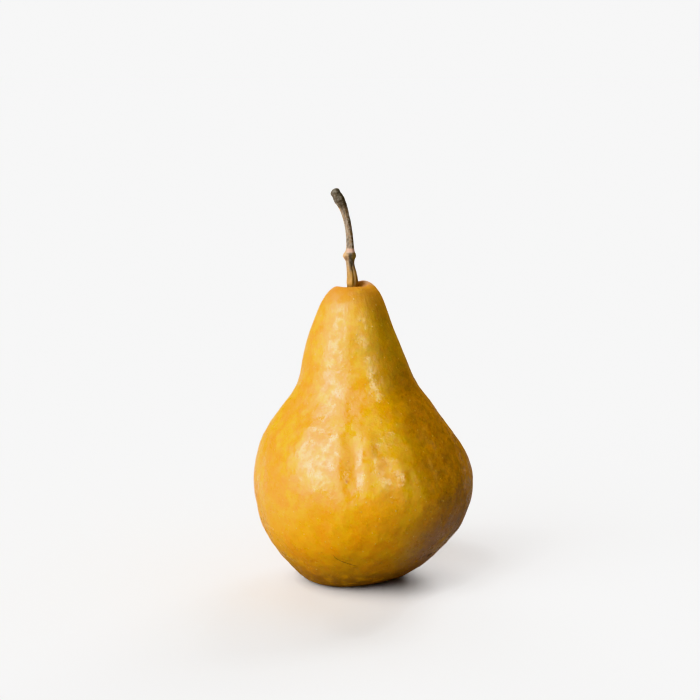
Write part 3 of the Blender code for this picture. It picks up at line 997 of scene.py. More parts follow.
def skin_material(settings):
    """Waxy golden skin, with orange, straw, olive and russet in it, a fine grain, and painted shade
    and sheen on its right flank.
    """
    made, tree, shader = new_material("pear_skin")
    place = object_place(tree)
    height = parts(place)[2]
    way_out = attribute(tree, "outward", "Vector")
    russet = russet_mask(place, height, attribute(tree, "reach"))
    layers = skin_layers(place, height, way_out, russet)
    connect(tree, shader.inputs["Base Color"], layered(settings, "gold", layers))

    dull = russet * 0.20 + skin_blotches(place, "clouds") * settings.cloudiness
    dull = dull + fade(height, *BLUSH_FADE) * 0.35 + fade(height, *NECK_FADE) * 0.10
    for polished in skin_patches(place, "polished"):
        dull = dull * (1.0 - polished)
    connect(tree, shader.inputs["Roughness"], dull + settings.roughness)

    lines = streaks(way_out, height, *NECK_STREAKS) * fade(height, *STREAKS_FADE)
    relief = lumps(place, WAVE_SIZE) * 0.6 + lumps(place, PORE_SIZE) * 0.35 + lines * 0.20
    bumped(shader, relief, settings.grain_height)

    shader.inputs["Subsurface Weight"].default_value = 0.12
    shader.inputs["Subsurface Radius"].default_value = (1.0, 0.45, 0.10)
    shader.inputs["Subsurface Scale"].default_value = 2.0 * MM
    shader.inputs["Specular IOR Level"].default_value = 0.8
    return made


def build_dent(name):
    """How far a spot of the skin rises in one dent, which is below zero."""
    tree, given, result = new_tree(
        name,
        "GeometryNodeTree",
        (
            ("Turn", "Float", 0.0),
            ("Height", "Float", 0.0),
            ("Reach", "Float", 0.0),
            ("Dent Turn", "Float", 0.0),
            ("Dent Height", "Float", 0.0),
            ("Half Width", "Float", 2.0 * MM),
            ("Half Length", "Float", 2.0 * MM),
            ("Depth", "Float", 0.2 * MM),
        ),
        (("Rise", "Float"),),
    )
    turn = calc(tree, "WRAP", given["Turn"] - given["Dent Turn"], math.pi, -math.pi)
    aside = turn * given["Reach"] / given["Half Width"]
    along = (given["Height"] - given["Dent Height"]) / given["Half Length"]
    sunk = calc(tree, "EXPONENT", (aside * aside + along * along) * -1.0) * given["Depth"]
    connect(tree, result["Rise"], sunk * -1.0)
    return tree


def skin_tree():
    """Rounds the fruit's cage and adds the skin's lumps and dents along its normals."""
    tree, given, result = new_tree(
        "Pear Skin",
        "GeometryNodeTree",
        (
            ("Cage", "Geometry", None),
            ("Rounding Steps", "Int", 2),
            ("Broad Size", "Float", 9.0 * MM),
            ("Broad Height", "Float", 0.2 * MM),
            ("Lump Size", "Float", 4.0 * MM),
            ("Lump Height", "Float", 0.1 * MM),
            ("Pimple Size", "Float", 2.0 * MM),
            ("Pimple Height", "Float", 0.1 * MM),
            ("Stretch", "Float", 1.6),
            ("Dent Depth", "Float", 1.0),
            ("Finish", "Material", None),
        ),
        (("Skin", "Geometry"),),
    )
    inputs = {"Mesh": given["Cage"], "Level": given["Rounding Steps"]}
    rounded = add(tree, "GeometryNodeSubdivisionSurface", inputs)
    place = position(tree)
    height = parts(place)[2]
    right, back, _ = parts(named(tree, "outward", "FLOAT_VECTOR"))
    turn = calc(tree, "ARCTAN2", back, right)
    reach = named(tree, "reach")

    squash = vector_of(tree, 1.0, 1.0, 1.0 / given["Stretch"])
    inputs = {"Vector": vector_calc(tree, "MULTIPLY", place, squash), "Rotation": LUMPS_TURN}
    turned = output_of(tree, "ShaderNodeVectorRotate", inputs, rotation_type="EULER_XYZ")
    rise = layer(turned, given["Broad Size"], given["Broad Height"])
    rise = rise + layer(turned, given["Lump Size"], given["Lump Height"])
    rise = rise + layer(turned, given["Pimple Size"], given["Pimple Height"])
    rise = rise * (1.0 - fade(height, *CALM_FADE) * 0.7)

    for degrees, dent_height, half_width, half_length, depth in DENTS:
        values = {
            "Turn": turn,
            "Height": height,
            "Reach": reach,
            "Dent Turn": math.radians(degrees - 90.0),
            "Dent Height": dent_height,
            "Half Width": half_width,
            "Half Length": half_length,
            "Depth": given["Dent Depth"] * depth,
        }
        dent = shared("Skin Dent", build_dent)
        rise = rise + output_of(tree, "GeometryNodeGroup", values, node_tree=dent)
    rise = rise * (fade(height, *RELIEF_FADE_BELOW) * fade(reach, *RELIEF_FADE_INSIDE))
    normal = output_of(tree, "GeometryNodeInputNormal")
    finish_tree(tree, moved(tree, rounded, scaled(normal, rise)), given["Finish"], result["Skin"])
    return tree


def fruit_cage():
    """The fruit's cage, whose points know their way out and their distance from the middle."""
    rows = fruit_rows()
    shift = fruit_place()
    points = []
    outward = []
    reach = []
    for row in rows:
        middle = sum(row, Vector()) / len(row)
        points.append([point + shift for point in row])
        for angle, point in zip(fruit_angles(), row):
            way = Vector((math.cos(angle), math.sin(angle), 0.0))
            outward.append(way if len(row) > 1 else Vector((0.0, 0.0, 0.0)))
            reach.append((point - middle).length)
    return mesh_from_rows("fruit_cage", points, {"outward": outward, "reach": reach})


def grow_skin(settings):
    start = add_object("fruit_cage", fruit_cage())
    skin = grown("fruit_skin", start, skin_tree(), settings, finish=skin_material(settings))
    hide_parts("fruit")
    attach(skin, BODY)


# The lenticels and scars


def grown_skin():
    """The fruit's skin, which has to be there before anything is put on it."""
    skin = bpy.data.objects.get("fruit_skin")
    if skin is None:
        raise RuntimeError("the skin comes before its lenticels and scars")
    return skin


def spot_material(name, colour, roughness):
    """A corky spot on the skin: one colour, mottled with a darker one."""
    made, tree, shader = new_material(name)
    mottle = blotches(object_place(tree), 0.5 * MM, 0.35, 0.65)
    darker = tuple(channel * CORK_SHADE for channel in colour[:3]) + (1.0,)
    connect(tree, shader.inputs["Base Color"], mixed(mottle, tuple(colour), darker))
    shader.inputs["Roughness"].default_value = roughness
    return made


def lenticel_tree():
    """Small flat domes scattered over the skin."""
    tree, given, result = new_tree(
        "Pear Lenticels",
        "GeometryNodeTree",
        (
            ("Skin", "Geometry", None),
            ("Spacing", "Float", 3.0 * MM),
            ("Density", "Float", 50000.0),
            ("Smallest", "Float", 0.1 * MM),
            ("Largest", "Float", 0.2 * MM),
            ("Flatness", "Float", 0.2),
            ("Seed", "Int", 1),
            ("Finish", "Material", None),
        ),
        (("Lenticels", "Geometry"),),
    )
    place = position(tree)
    above_base = fade(parts(place)[2], 2.0 * MM, 9.0 * MM)
    outside_cavity = fade(named(tree, "reach"), 4.0 * MM, 9.0 * MM)
    thinned = fade(lumps(place, 14.0 * MM), 0.25, 0.6)
    spread = add(
        tree,
        "GeometryNodeDistributePointsOnFaces",
        {
            "Mesh": given["Skin"],
            "Distance Min": given["Spacing"],
            "Density Max": given["Density"],
            "Density Factor": above_base * outside_cavity * thinned,
            "Seed": given["Seed"],
        },
        distribute_method="POISSON",
    )
    size = random_number(tree, given["Smallest"], given["Largest"], given["Seed"])
    domes = add(
        tree,
        "GeometryNodeInstanceOnPoints",
        {
            "Points": spread.outputs["Points"],
            "Instance": add(tree, "GeometryNodeMeshUVSphere", {"Segments": 8, "Rings": 4}),
            "Rotation": spread.outputs["Rotation"],
            "Scale": vector_of(tree, size, size, size * given["Flatness"]),
        },
    )
    finish_tree(tree, domes, given["Finish"], result["Lenticels"])
    return tree


def grow_lenticels(settings):
    start = add_object("lenticel_start", grown_skin().data.copy())
    finish = spot_material("lenticel_cork", settings.colour, 0.6)
    lenticels = grown("lenticels", start, lenticel_tree(), settings, finish=finish)
    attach(lenticels, BODY)


def scar_tree():
    """Thin corky ridges along lines that are laid on the skin."""
    tree, given, result = new_tree(
        "Pear Scars",
        "GeometryNodeTree",
        (
            ("Lines", "Geometry", None),
            ("Skin", "Object", None),
            ("Thickness", "Float", 0.15 * MM),
            ("Sunk", "Float", 0.08 * MM),
            ("Waviness", "Float", 0.4 * MM),
            ("Finish", "Material", None),
        ),
        (("Scars", "Geometry"),),
    )
    lines = add(tree, "GeometryNodeMeshToCurve", {"Mesh": given["Lines"]})
    inputs = {"Curve": lines, "Length": SCAR_STEP}
    fine = add(tree, "GeometryNodeResampleCurve", inputs, mode="LENGTH")
    place = position(tree)
    middle_grey = (0.5, 0.5, 0.5)
    wander = vector_calc(tree, "SUBTRACT", lumps(place, 2.5 * MM, output="Color"), middle_grey)
    wavy = moved(tree, fine, scaled(wander, given["Waviness"]))

    skin = output_of(tree, "GeometryNodeObjectInfo", {"Object": given["Skin"]}, "Geometry")
    nearest = output_of(tree, "GeometryNodeProximity", {0: skin}, "Position", target_element="FACES")
    inward = vector_calc(tree, "NORMALIZE", vector_calc(tree, "SUBTRACT", FRUIT_HEART, nearest))
    sunk = vector_calc(tree, "ADD", nearest, scaled(inward, given["Sunk"]))
    laid = add(tree, "GeometryNodeSetPosition", {"Geometry": wavy, "Position": sunk})

    share = output_of(tree, "GeometryNodeSplineParameter")
    taper = calc(tree, "SQRT", calc(tree, "SINE", share * math.pi)) * 0.9 + 0.1
    taper = taper * (lumps(place, 0.9 * MM) + 0.5) * named(tree, "strength")
    ridges = tube(tree, laid, 8, taper * given["Thickness"])
    finish_tree(tree, ridges, given["Finish"], result["Scars"])
    return tree


def grow_scars(settings):
    lines = [smooth_line([skin_spot(*spot) for spot in spots], 1.0 * MM) for _, *spots in SCARS]
    strengths = [scar[0] for scar, line in zip(SCARS, lines) for _ in line]
    start = add_object("scar_lines", mesh_of_lines("scar_lines", lines, {"strength": strengths}))
    finish = spot_material("scar_cork", settings.colour, 0.75)
    scars = grown("scars", start, scar_tree(), settings, skin=grown_skin(), finish=finish)
    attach(scars, BODY)


# The stem


def stem_path():
    """The stem's middle line with its radius at each point, rounded over at the tip."""
    line = smooth_line(STEM_LINE, STEM_RING_STEP)
    lengths = [0.0]
    for start, end in zip(line, line[1:]):
        lengths.append(lengths[-1] + (end - start).length)
    radii = [read_table(STEM_RADII, length / lengths[-1]) for length in lengths]
    shares = [length / lengths[-1] for length in lengths]
    ahead = (line[-1] - line[-2]).normalized()
    tip = line[-1]
    for i in range(1, STEM_TIP_STEPS):
        turn = math.pi / 2.0 * i / STEM_TIP_STEPS
        line.append(tip + ahead * STEM_TIP_ROUNDING * math.sin(turn))
        radii.append(STEM_RADII[-1][1] * math.cos(turn))
        shares.append(1.0)
    shift = fruit_place() + socket_mouth()
    return [point + shift for point in line], radii, shares


def stem_spot(degrees, share):
    """A point just off the bark, from degrees (front to right) and a share of its length."""
    line, radii, shares = stem_path()
    nearest = min(range(len(line)), key=lambda i: abs(shares[i] - share))
    turn = math.radians(degrees - 90.0)
    way = Vector((math.cos(turn), math.sin(turn), 0.0))
    return line[nearest] + way * radii[nearest] * BARK_MARK_REACH


def below_node(share):
    """1 along the groove, which runs from the foot to the node, and 0 beyond its ends."""
    return fade(share, *GROOVE_FADE_BELOW) * fade(share, *GROOVE_FADE_ABOVE)


def stem_material(settings):
    """Dry bark: golden tan below, mottled grey brown above, with marks, cracks, a dark tip, and
    painted shade on its shaded side, in its groove and at its foot.
    """
    made, tree, shader = new_material("stem_bark")
    place = object_place(tree)
    height = parts(place)[2]
    way_out = attribute(tree, "outward", "Vector")
    share = attribute(tree, "share")

    weathered = fade(share, *WEATHERED_FADE)
    tip = fade(share, *TIP_FADE)
    # Painted shade: the side away from the lights is darker, more so on the weathered bark
    shade_stripe = fade(facing(way_out, STEM_SHADE_SIDE), 0.45, 0.95) * (weathered * 0.4 + 0.3)
    cracks = streaks(way_out, height, *BARK_CRACKS) * (weathered * 0.45 + 0.25)
    flakes = blotches(place, *BARK_FLAKES) * (weathered * 0.45 + 0.05) * (1.0 - tip * 0.5)
    front = facing(way_out, STEM_FRONT)
    ring = fade(share, *RING_FADE_BELOW) * fade(share, *RING_FADE_ABOVE) * fade(front, 0.1, 0.6)
    layers = [
        ("grey", 1.0, weathered),
        ("tan", 0.35, blotches(place, *BARK_BLOTCHES)),
        # Painted shade on the side away from the lights
        ("rust_and_shade", 1.0, shade_stripe),
        ("crack_and_shade", 1.0, cracks),
        ("crack_and_shade", 0.82, tip),
        ("flake", 1.0, flakes),
    ]
    for degrees, at, radius, raggedness, strength, name in BARK_MARKS:
        layers.append((name, strength, patch(place, stem_spot(degrees, at), radius, raggedness)))
    layers += [
        ("pink", 0.9, ring),
        # Painted shade along the groove
        ("crack_and_shade", 0.5, fade(front, 0.95, 1.0) * below_node(share)),
        # Painted shade on the foot, down in the socket
        ("crack_and_shade", 0.5, fade(share, *SOCKET_SHADE_FADE)),
    ]
    connect(tree, shader.inputs["Base Color"], layered(settings, "tan", layers))

    relief = streaks(way_out, height, *BARK_GRAIN) * 0.6 + lumps(place, 0.35 * MM, 3.0) * 0.4
    bumped(shader, relief, settings.grain_height)
    connect(tree, shader.inputs["Roughness"], flakes * 0.3 + settings.roughness)
    return made


def stem_tree():
    """Bark along the stem's line: lengthwise ridges, a node with two bud scars, a knobbly tip."""
    tree, given, result = new_tree(
        "Pear Stem",
        "GeometryNodeTree",
        (
            ("Line", "Geometry", None),
            ("Sides", "Int", 60),
            ("Ridges", "Float", 9.0),
            ("Ridge Height", "Float", 0.25 * MM),
            ("Ridge Length", "Float", 8.0 * MM),
            ("Knobbliness", "Float", 0.3 * MM),
            ("Node Swell", "Float", STEM_NODE_SWELL),
            ("Knob Swell", "Float", STEM_KNOB_SWELL),
            ("Groove Depth", "Float", 0.4 * MM),
            ("Finish", "Material", None),
        ),
        (("Stem", "Geometry"),),
    )
    line = add(tree, "GeometryNodeMeshToCurve", {"Mesh": given["Line"]})
    bark = tube(tree, line, given["Sides"], named(tree, "thickness"))
    share = named(tree, "share")
    place = position(tree)
    from_middle = vector_calc(tree, "SUBTRACT", place, named(tree, "middle", "FLOAT_VECTOR"))
    way_out = vector_calc(tree, "NORMALIZE", from_middle)
    right, back, _ = parts(way_out)
    turn = calc(tree, "ARCTAN2", back, right)
    marked = add(
        tree,
        "GeometryNodeStoreNamedAttribute",
        {"Geometry": bark, "Name": "outward", "Value": way_out},
        data_type="FLOAT_VECTOR",
        domain="POINT",
    )

    above_foot = fade(share, *RIDGES_FADE)
    spread = scaled(way_out, given["Ridges"] / (2.0 * math.pi))
    shift = vector_of(tree, 0.0, 0.0, parts(place)[2] / given["Ridge Length"])
    ridge_place = vector_calc(tree, "ADD", spread, shift)
    rise = layer(ridge_place, 1.0, given["Ridge Height"]) * above_foot

    from_node = (share - STEM_NODE_AT) / STEM_NODE_LENGTH
    near_node = calc(tree, "EXPONENT", from_node * from_node * -1.0)
    swell = given["Node Swell"]
    for side, size in STEM_KNOBS:
        towards = calc(tree, "MAXIMUM", calc(tree, "COSINE", turn - side), 0.0)
        swell = swell + towards * towards * towards * size * given["Knob Swell"]
    rise = rise + near_node * swell

    from_groove = calc(tree, "WRAP", turn - STEM_GROOVE_SIDE, math.pi, -math.pi)
    from_groove = calc(tree, "ABSOLUTE", from_groove / STEM_GROOVE_WIDTH)
    rise = rise - fade(from_groove, 1.0, 0.0) * given["Groove Depth"] * below_node(share)

    roughened = fade(share, *KNOBBLY_FADE) * given["Knobbliness"] + 0.08 * MM
    roughened = (near_node * (0.2 * MM) + roughened) * above_foot
    rise = rise + layer(place, 1.5 * MM, roughened, 2.0)
    normal = output_of(tree, "GeometryNodeInputNormal")
    finish_tree(tree, moved(tree, marked, scaled(normal, rise)), given["Finish"], result["Stem"])
    return tree


def grow_stem(settings):
    line, radii, shares = stem_path()
    tags = {"thickness": radii, "share": shares, "middle": line}
    start = add_object("stem_line", mesh_of_lines("stem_line", [line], tags))
    stem = grown("stem_bark", start, stem_tree(), settings, finish=stem_material(settings))
    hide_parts("stem")
    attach(stem, BODY)


# The calyx


def calyx_material(settings):
    """Dry, dark brown leaf tissue with paler worn parts."""
    made, tree, shader = new_material("dry_calyx")
    place = object_place(tree)
    worn = blotches(place, 1.1 * MM, 0.4, 0.66, 3.0)
    connect(tree, shader.inputs["Base Color"], mixed(worn, settings.dark, settings.pale))
    bumped(shader, lumps(place, 0.3 * MM, 3.0), 0.1 * MM)
    shader.inputs["Roughness"].default_value = 0.85
    return made


def sepal_shape(tree, given):
    """One sepal along +X: widest near its root, cupped, and bent down towards its tip."""
    inputs = {"Size": (1.0, 1.0, 1.0), "Vertices X": 16, "Vertices Y": 8}
    block = add(tree, "GeometryNodeMeshCube", inputs)
    along, aside, up = parts(position(tree))
    share = along + 0.5
    left = 1.0 - share
    width_share = calc(tree, "POWER", left, 0.7) * (1.4 - left * 0.8) + 0.1
    out = share * (given["Sepal Length"] * SEPAL_REACH_SHARE)
    side = aside * (given["Sepal Width"] * width_share)
    drop = calc(tree, "POWER", share, 1.8) * -SEPAL_DROP
    rise = drop + aside * aside * -SEPAL_CUPPING + up * given["Sepal Thickness"]
    inputs = {"Geometry": block, "Position": vector_of(tree, out, side, rise)}
    return add(tree, "GeometryNodeSetPosition", inputs)


def stamen_shape(tree, given):
    """One stamen's stub, hanging down and thinner at its end."""
    inputs = {"Vertices": 7, "Side Segments": 4, "Depth": 1.0, "Radius": 1.0}
    rod = add(tree, "GeometryNodeMeshCylinder", inputs)
    right, back, up = parts(position(tree))
    thin = (up * 0.45 + 0.8) * given["Stamen Thickness"]
    down = (up - 0.5) * given["Stamen Length"]
    inputs = {"Geometry": rod, "Position": vector_of(tree, right * thin, back * thin, down)}
    return add(tree, "GeometryNodeSetPosition", inputs)


def calyx_tree():
    """Adds a ring of curled sepals and a ring of stamens' stubs to the cup."""
    tree, given, result = new_tree(
        "Pear Calyx",
        "GeometryNodeTree",
        (
            ("Cup", "Geometry", None),
            ("Centre", "Vector", None),
            ("Sepals", "Int", 5),
            ("Sepal Length", "Float", 5.2 * MM),
            ("Sepal Width", "Float", 2.6 * MM),
            ("Sepal Thickness", "Float", 0.35 * MM),
            ("Stamens", "Int", 14),
            ("Stamen Length", "Float", 2.2 * MM),
            ("Stamen Thickness", "Float", 0.16 * MM),
            ("Seed", "Int", 3),
            ("Finish", "Material", None),
        ),
        (("Calyx", "Geometry"),),
    )
    joined = add(tree, "GeometryNodeJoinGeometry")
    connect(tree, joined.inputs[0], given["Cup"])
    rings = (
        (sepal_shape(tree, given), given["Sepals"], SEPAL_ROOT, 0.10, 0.12),
        (stamen_shape(tree, given), given["Stamens"], STAMEN_ROOT, 0.18, 0.35),
    )
    for i, (piece, count, root, turn_spread, size_spread) in enumerate(rings):
        root_radius, root_drop = root
        lowered = (0.0, 0.0, -CUP_HEIGHT * root_drop)
        centre = vector_calc(tree, "ADD", given["Centre"], lowered)
        inputs = {"Vertices": count, "Radius": CUP_RADIUS * root_radius}
        ring = add(tree, "GeometryNodeMeshCircle", inputs)
        ring = add(tree, "GeometryNodeTransform", {"Geometry": ring, "Translation": centre})
        sway = random_number(tree, -turn_spread, turn_spread, given["Seed"])
        turn = output_of(tree, "GeometryNodeInputIndex") * (2.0 * math.pi / count) + sway
        lean = random_number(tree, -turn_spread, turn_spread, given["Seed"] + (10.0 + i))
        inputs = {0: vector_of(tree, 0.0, lean, turn)}
        rotation = output_of(tree, "FunctionNodeEulerToRotation", inputs)
        size = random_number(tree, 1.0 - size_spread, 1.0, given["Seed"] + (20.0 + i))
        inputs = {"Points": ring, "Instance": piece, "Rotation": rotation, "Scale": size}
        connect(tree, joined.inputs[0], add(tree, "GeometryNodeInstanceOnPoints", inputs))
    finish_tree(tree, joined, given["Finish"], result["Calyx"])
    return tree


def cup_mesh(centre):
    """The calyx's shallow cup, upside down under the basin's middle."""
    turns = [2.0 * math.pi * i / CUP_SIDES for i in range(CUP_SIDES)]
    outline = smooth_line([(r, d, 0.0) for r, d in CUP_OUTLINE], CUP_OUTLINE_STEP)
    rows = [[centre]]
    for place in outline:
        radius = CUP_RADIUS * place.x
        drop = Vector((0.0, 0.0, -CUP_HEIGHT * place.y))
        ways = [Vector((math.cos(turn), math.sin(turn), 0.0)) for turn in turns]
        rows.append([centre + drop + way * radius for way in ways])
    rows.append([centre + Vector((0.0, 0.0, -CUP_HEIGHT * CUP_HOLLOW_DROP))])
    return mesh_from_rows("cup_start", rows, {})


def grow_calyx(settings):
    centre = middle_at(0.0) + fruit_place()
    centre.z = BASIN_DEPTH * BASIN_OUTLINE[2][1] - GAP
    start = add_object("cup_start", cup_mesh(centre))
    finish = calyx_material(settings)
    calyx = grown("calyx_dried", start, calyx_tree(), settings, centre=centre, finish=finish)
    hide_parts("calyx")
    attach(calyx, BODY)


# The stage


def seen_or_felt(tree, seen, felt):
    """One colour for what the camera sees, and another for the light that reaches the pear."""
    by_camera = output_of(tree, "ShaderNodeLightPath", output="Is Camera Ray")
    return mixed(by_camera, felt, seen)


def paper_material(settings):
    """Matt pale paper. On the left it throws more light back on the pear than on the right."""
    made, tree, shader = new_material("studio_paper")
    right, _, _ = parts(object_place(tree))
    bounce = mixed(fade(right, *LEFT_BOUNCE_FADE), settings.floor_bounce, settings.left_bounce)
    colour = seen_or_felt(tree, settings.floor_colour, bounce)
    matt = add(tree, "ShaderNodeBsdfDiffuse", {"Color": colour})
    connect(tree, tree.nodes["Material Output"].inputs["Surface"], matt)
    tree.nodes.remove(shader)
    return made


def make_floor(settings):
    """A round level floor, so wide that it reaches the horizon."""
    shape = bmesh.new()
    radius = settings.floor_radius
    bmesh.ops.create_circle(shape, cap_ends=True, radius=radius, segments=FLOOR_SIDES)
    mesh = bpy.data.meshes.new("floor")
    shape.to_mesh(mesh)
    shape.free()
    mesh.materials.append(paper_material(settings))
    add_object("floor", mesh)


def way_to(azimuth, elevation):
    """The direction from the pear at these angles. Azimuth 0 is at the front."""
    level = math.cos(elevation)
    return Vector((math.sin(azimuth) * level, -math.cos(azimuth) * level, math.sin(elevation)))


def add_light(name, settings):
    """A wide soft light, or only the shine of one."""
    width, azimuth, elevation = (math.radians(angle) for angle in LIGHTS[name])
    only_shine = name.endswith("shine")
    data = bpy.data.lights.new(name, "SUN")
    data.energy = getattr(settings, name)
    data.angle = width
    if only_shine:
        data.color = settings.shine_colour[:3]
    light = add_object(name, data)
    light.visible_glossy = only_shine
    light.visible_diffuse = not only_shine
    light.rotation_euler = way_to(azimuth, elevation).to_track_quat("Z", "Y").to_euler()


def add_camera():
    data = bpy.data.cameras.new("camera")
    data.lens = LENS
    data.sensor_width = SENSOR
    data.clip_start = CAMERA_NEAREST
    data.clip_end = CAMERA_FARTHEST
    camera = add_object("camera", data)
    way = way_to(CAMERA_AZIMUTH, CAMERA_ELEVATION)
    camera.location = CAMERA_TARGET + way * CAMERA_DISTANCE
    camera.rotation_euler = way.to_track_quat("Z", "Y").to_euler()
    bpy.context.scene.camera = camera


def set_air(settings):
    """A pale sky for the camera, and a weak even light for the pear."""
    scene = bpy.context.scene
    scene.view_settings.view_transform = "Khronos PBR Neutral"
    world = scene.world or bpy.data.worlds.new("studio")
    scene.world = world
    world.use_nodes = True
    tree = world.node_tree
    brightness = settings.sky_brightness
    sky = (brightness, brightness, brightness, 1.0)
    colour = seen_or_felt(tree, sky, settings.air_colour)
    connect(tree, tree.nodes["Background"].inputs["Color"], colour)


def set_stage(settings):
    make_floor(settings)
    for name in LIGHTS:
        add_light(name, settings)
    set_air(settings)
    add_camera()


# What a user can change


def colour_property(name, description, colour):
    return bpy.props.FloatVectorProperty(
        name=name,
        description=description,
        default=(*colour, 1.0),
        min=0.0,
        max=1.0,
        size=4,
        subtype="COLOR",
    )


def length_property(name, description, default):
    return bpy.props.FloatProperty(
        name=name,
        description=description,
        default=default,
        min=0.0,
        precision=5,
        subtype="DISTANCE",
        unit="LENGTH",
    )


def number_property(name, description, default, least, most):
    return bpy.props.FloatProperty(
        name=name, description=description, default=default, min=least, max=most
    )


def strength_property(name, description, default):
    return number_property(name, description, default, 0.0, 20.0)


def count_property(name, description, default, least, most):
    return bpy.props.IntProperty(
        name=name, description=description, default=default, min=least, max=most
    )


class PearSkinSettings(bpy.types.PropertyGroup):
    rounding_steps: count_property("Rounding steps", "How often the cage is rounded", 2, 0, 3)
    broad_size: length_property("Broad size", "Width of the broad swells", 9.0 * MM)
    broad_height: length_property("Broad height", "How far they rise and sink", 1.0 * MM)
    lump_size: length_property("Lump size", "Width of the small lumps", 3.6 * MM)
    lump_height: length_property("Lump height", "How far they rise and sink", 0.34 * MM)
    pimple_size: length_property("Pimple size", "Width of the smallest lumps", 1.5 * MM)
    pimple_height: length_property("Pimple height", "How far they rise and sink", 0.11 * MM)
    stretch: number_property("Stretch", "How much taller than wide the lumps are", 1.25, 0.5, 4.0)
    dent_depth: number_property("Dent depth", "How deep the dents are, as a share", 1.0, 0.0, 3.0)
    grain_height: length_property("Grain height", "How far the fine grain stands out", 0.16 * MM)
    roughness: number_property("Roughness", "How dull the waxy skin is", 0.25, 0.0, 1.0)
    cloudiness: number_property("Cloudiness", "How much duller its clouds are", 0.30, 0.0, 0.6)
    gold: colour_property("Gold", "Main colour of the belly", (0.83, 0.47, 0.002))
    amber: colour_property("Amber", "Orange of the low belly and mottling", (0.82, 0.295, 0.0005))
    straw: colour_property("Straw", "Paler yellow of the neck", (0.88, 0.515, 0.022))
    # Painted shade: the darker colour of the flank that faces away from the key light
    flank_shade: colour_property("Ochre", "Browner gold of the flank on the right", (0.43, 0.14, 0.001))
    # Dark mottles, partly painted shade, of the flank that faces away from the key light
    umber_and_shade: colour_property("Umber", "Dark mottling of that flank", (0.25, 0.09, 0.002))
    olive: colour_property("Olive", "Greenish patches", (0.50, 0.27, 0.003))
    blush: colour_property("Blush", "Orange tan of the crown", (0.63, 0.25, 0.015))
    russet: colour_property("Russet", "Brown cork of base and cavity", (0.32, 0.125, 0.025))
    # Greyish brown of the crown's rim, and painted shade and sheen on the low right flank
    bloom_shade_and_sheen: colour_property("Bloom", "Greyish brown of the low right flank", (0.55, 0.32, 0.20))
    speck: colour_property("Speck", "Small dark flecks", (0.10, 0.035, 0.008))
    mark: colour_property("Mark", "The orange-brown fleck in front", (0.62, 0.19, 0.02))
    lenticel: colour_property("Pale fleck", "Small pale flecks", (0.95, 0.60, 0.18))


class PearLenticelSettings(bpy.types.PropertyGroup):
    spacing: length_property("Spacing", "Least distance between two lenticels", 2.6 * MM)
    density: number_property("Density", "Most in a square metre of skin", 90000.0, 0.0, 1.0e6)
    smallest: length_property("Smallest", "Radius of the smallest lenticel", 0.16 * MM)
    largest: length_property("Largest", "Radius of the largest lenticel", 0.27 * MM)
    flatness: number_property("Flatness", "Height as a share of the radius", 0.18, 0.05, 1.0)
    seed: count_property("Seed", "Which scatter of lenticels", 11, 0, 1000)
    colour: colour_property("Colour", "Pale cork of the lenticels", (0.96, 0.62, 0.19))


class PearScarSettings(bpy.types.PropertyGroup):
    thickness: length_property("Thickness", "Radius of a strong scar's ridge", 0.16 * MM)
    sunk: length_property("Sunk", "How deep a scar's middle lies in the skin", 0.05 * MM)
    waviness: length_property("Waviness", "How far a scar wanders from its line", 0.9 * MM)
    colour: colour_property("Colour", "Brown cork of the scars", (0.24, 0.09, 0.012))


class PearStemSettings(bpy.types.PropertyGroup):
    sides: count_property("Sides", "Faces round the stem", 60, 8, 120)
    ridges: number_property("Ridges", "About how many run round the stem", 10.0, 1.0, 40.0)
    ridge_height: length_property("Ridge height", "How far the ridges stand out", 0.42 * MM)
    ridge_length: length_property("Ridge length", "How far one runs along the stem", 7.0 * MM)
    knobbliness: length_property("Knobbliness", "How knobbly the blunt tip is", 0.75 * MM)
    groove_depth: length_property("Groove depth", "Depth of the groove in front", 0.35 * MM)
    grain_height: length_property("Grain height", "How far the fine grain stands out", 0.12 * MM)
    roughness: number_property("Roughness", "How dull the bark is", 0.62, 0.0, 1.0)
    tan: colour_property("Tan", "Young bark near the foot", (0.56, 0.29, 0.06))
    grey: colour_property("Grey", "Weathered bark higher up", (0.335, 0.235, 0.166))
    flake: colour_property("Flake", "Pale grey flakes of the old bark", (0.58, 0.50, 0.38))
    # Reddish brown for rusty marks, and for the painted shade on the side away from the lights
    rust_and_shade: colour_property("Rust", "Reddish bark on the shaded side", (0.17, 0.085, 0.04))
    pink: colour_property("Pink", "The ring of the node", (0.80, 0.50, 0.36))
    bud: colour_property("Bud", "Pale orange of a bud's scar", (0.68, 0.40, 0.17))
    olive: colour_property("Olive", "Olive brown of the other bud's scar", (0.40, 0.25, 0.07))
    # Dark brown of the cracks and the tip, also used as painted shade along the groove and at the
    # foot
    crack_and_shade: colour_property("Crack", "Dark cracks and the tip", (0.065, 0.05, 0.035))


class PearCalyxSettings(bpy.types.PropertyGroup):
    sepals: count_property("Sepals", "Number of sepals", 5, 3, 8)
    sepal_length: length_property("Sepal length", "Length of a sepal", 5.2 * MM)
    sepal_width: length_property("Sepal width", "Greatest width of a sepal", 2.6 * MM)
    stamens: count_property("Stamens", "Number of stamens", 14, 0, 30)
    stamen_length: length_property("Stamen length", "Length of a stamen's stub", 1.9 * MM)
    dark: colour_property("Dark", "Dry brown tissue", (0.055, 0.03, 0.014))
    pale: colour_property("Pale", "Worn, paler parts", (0.20, 0.12, 0.06))


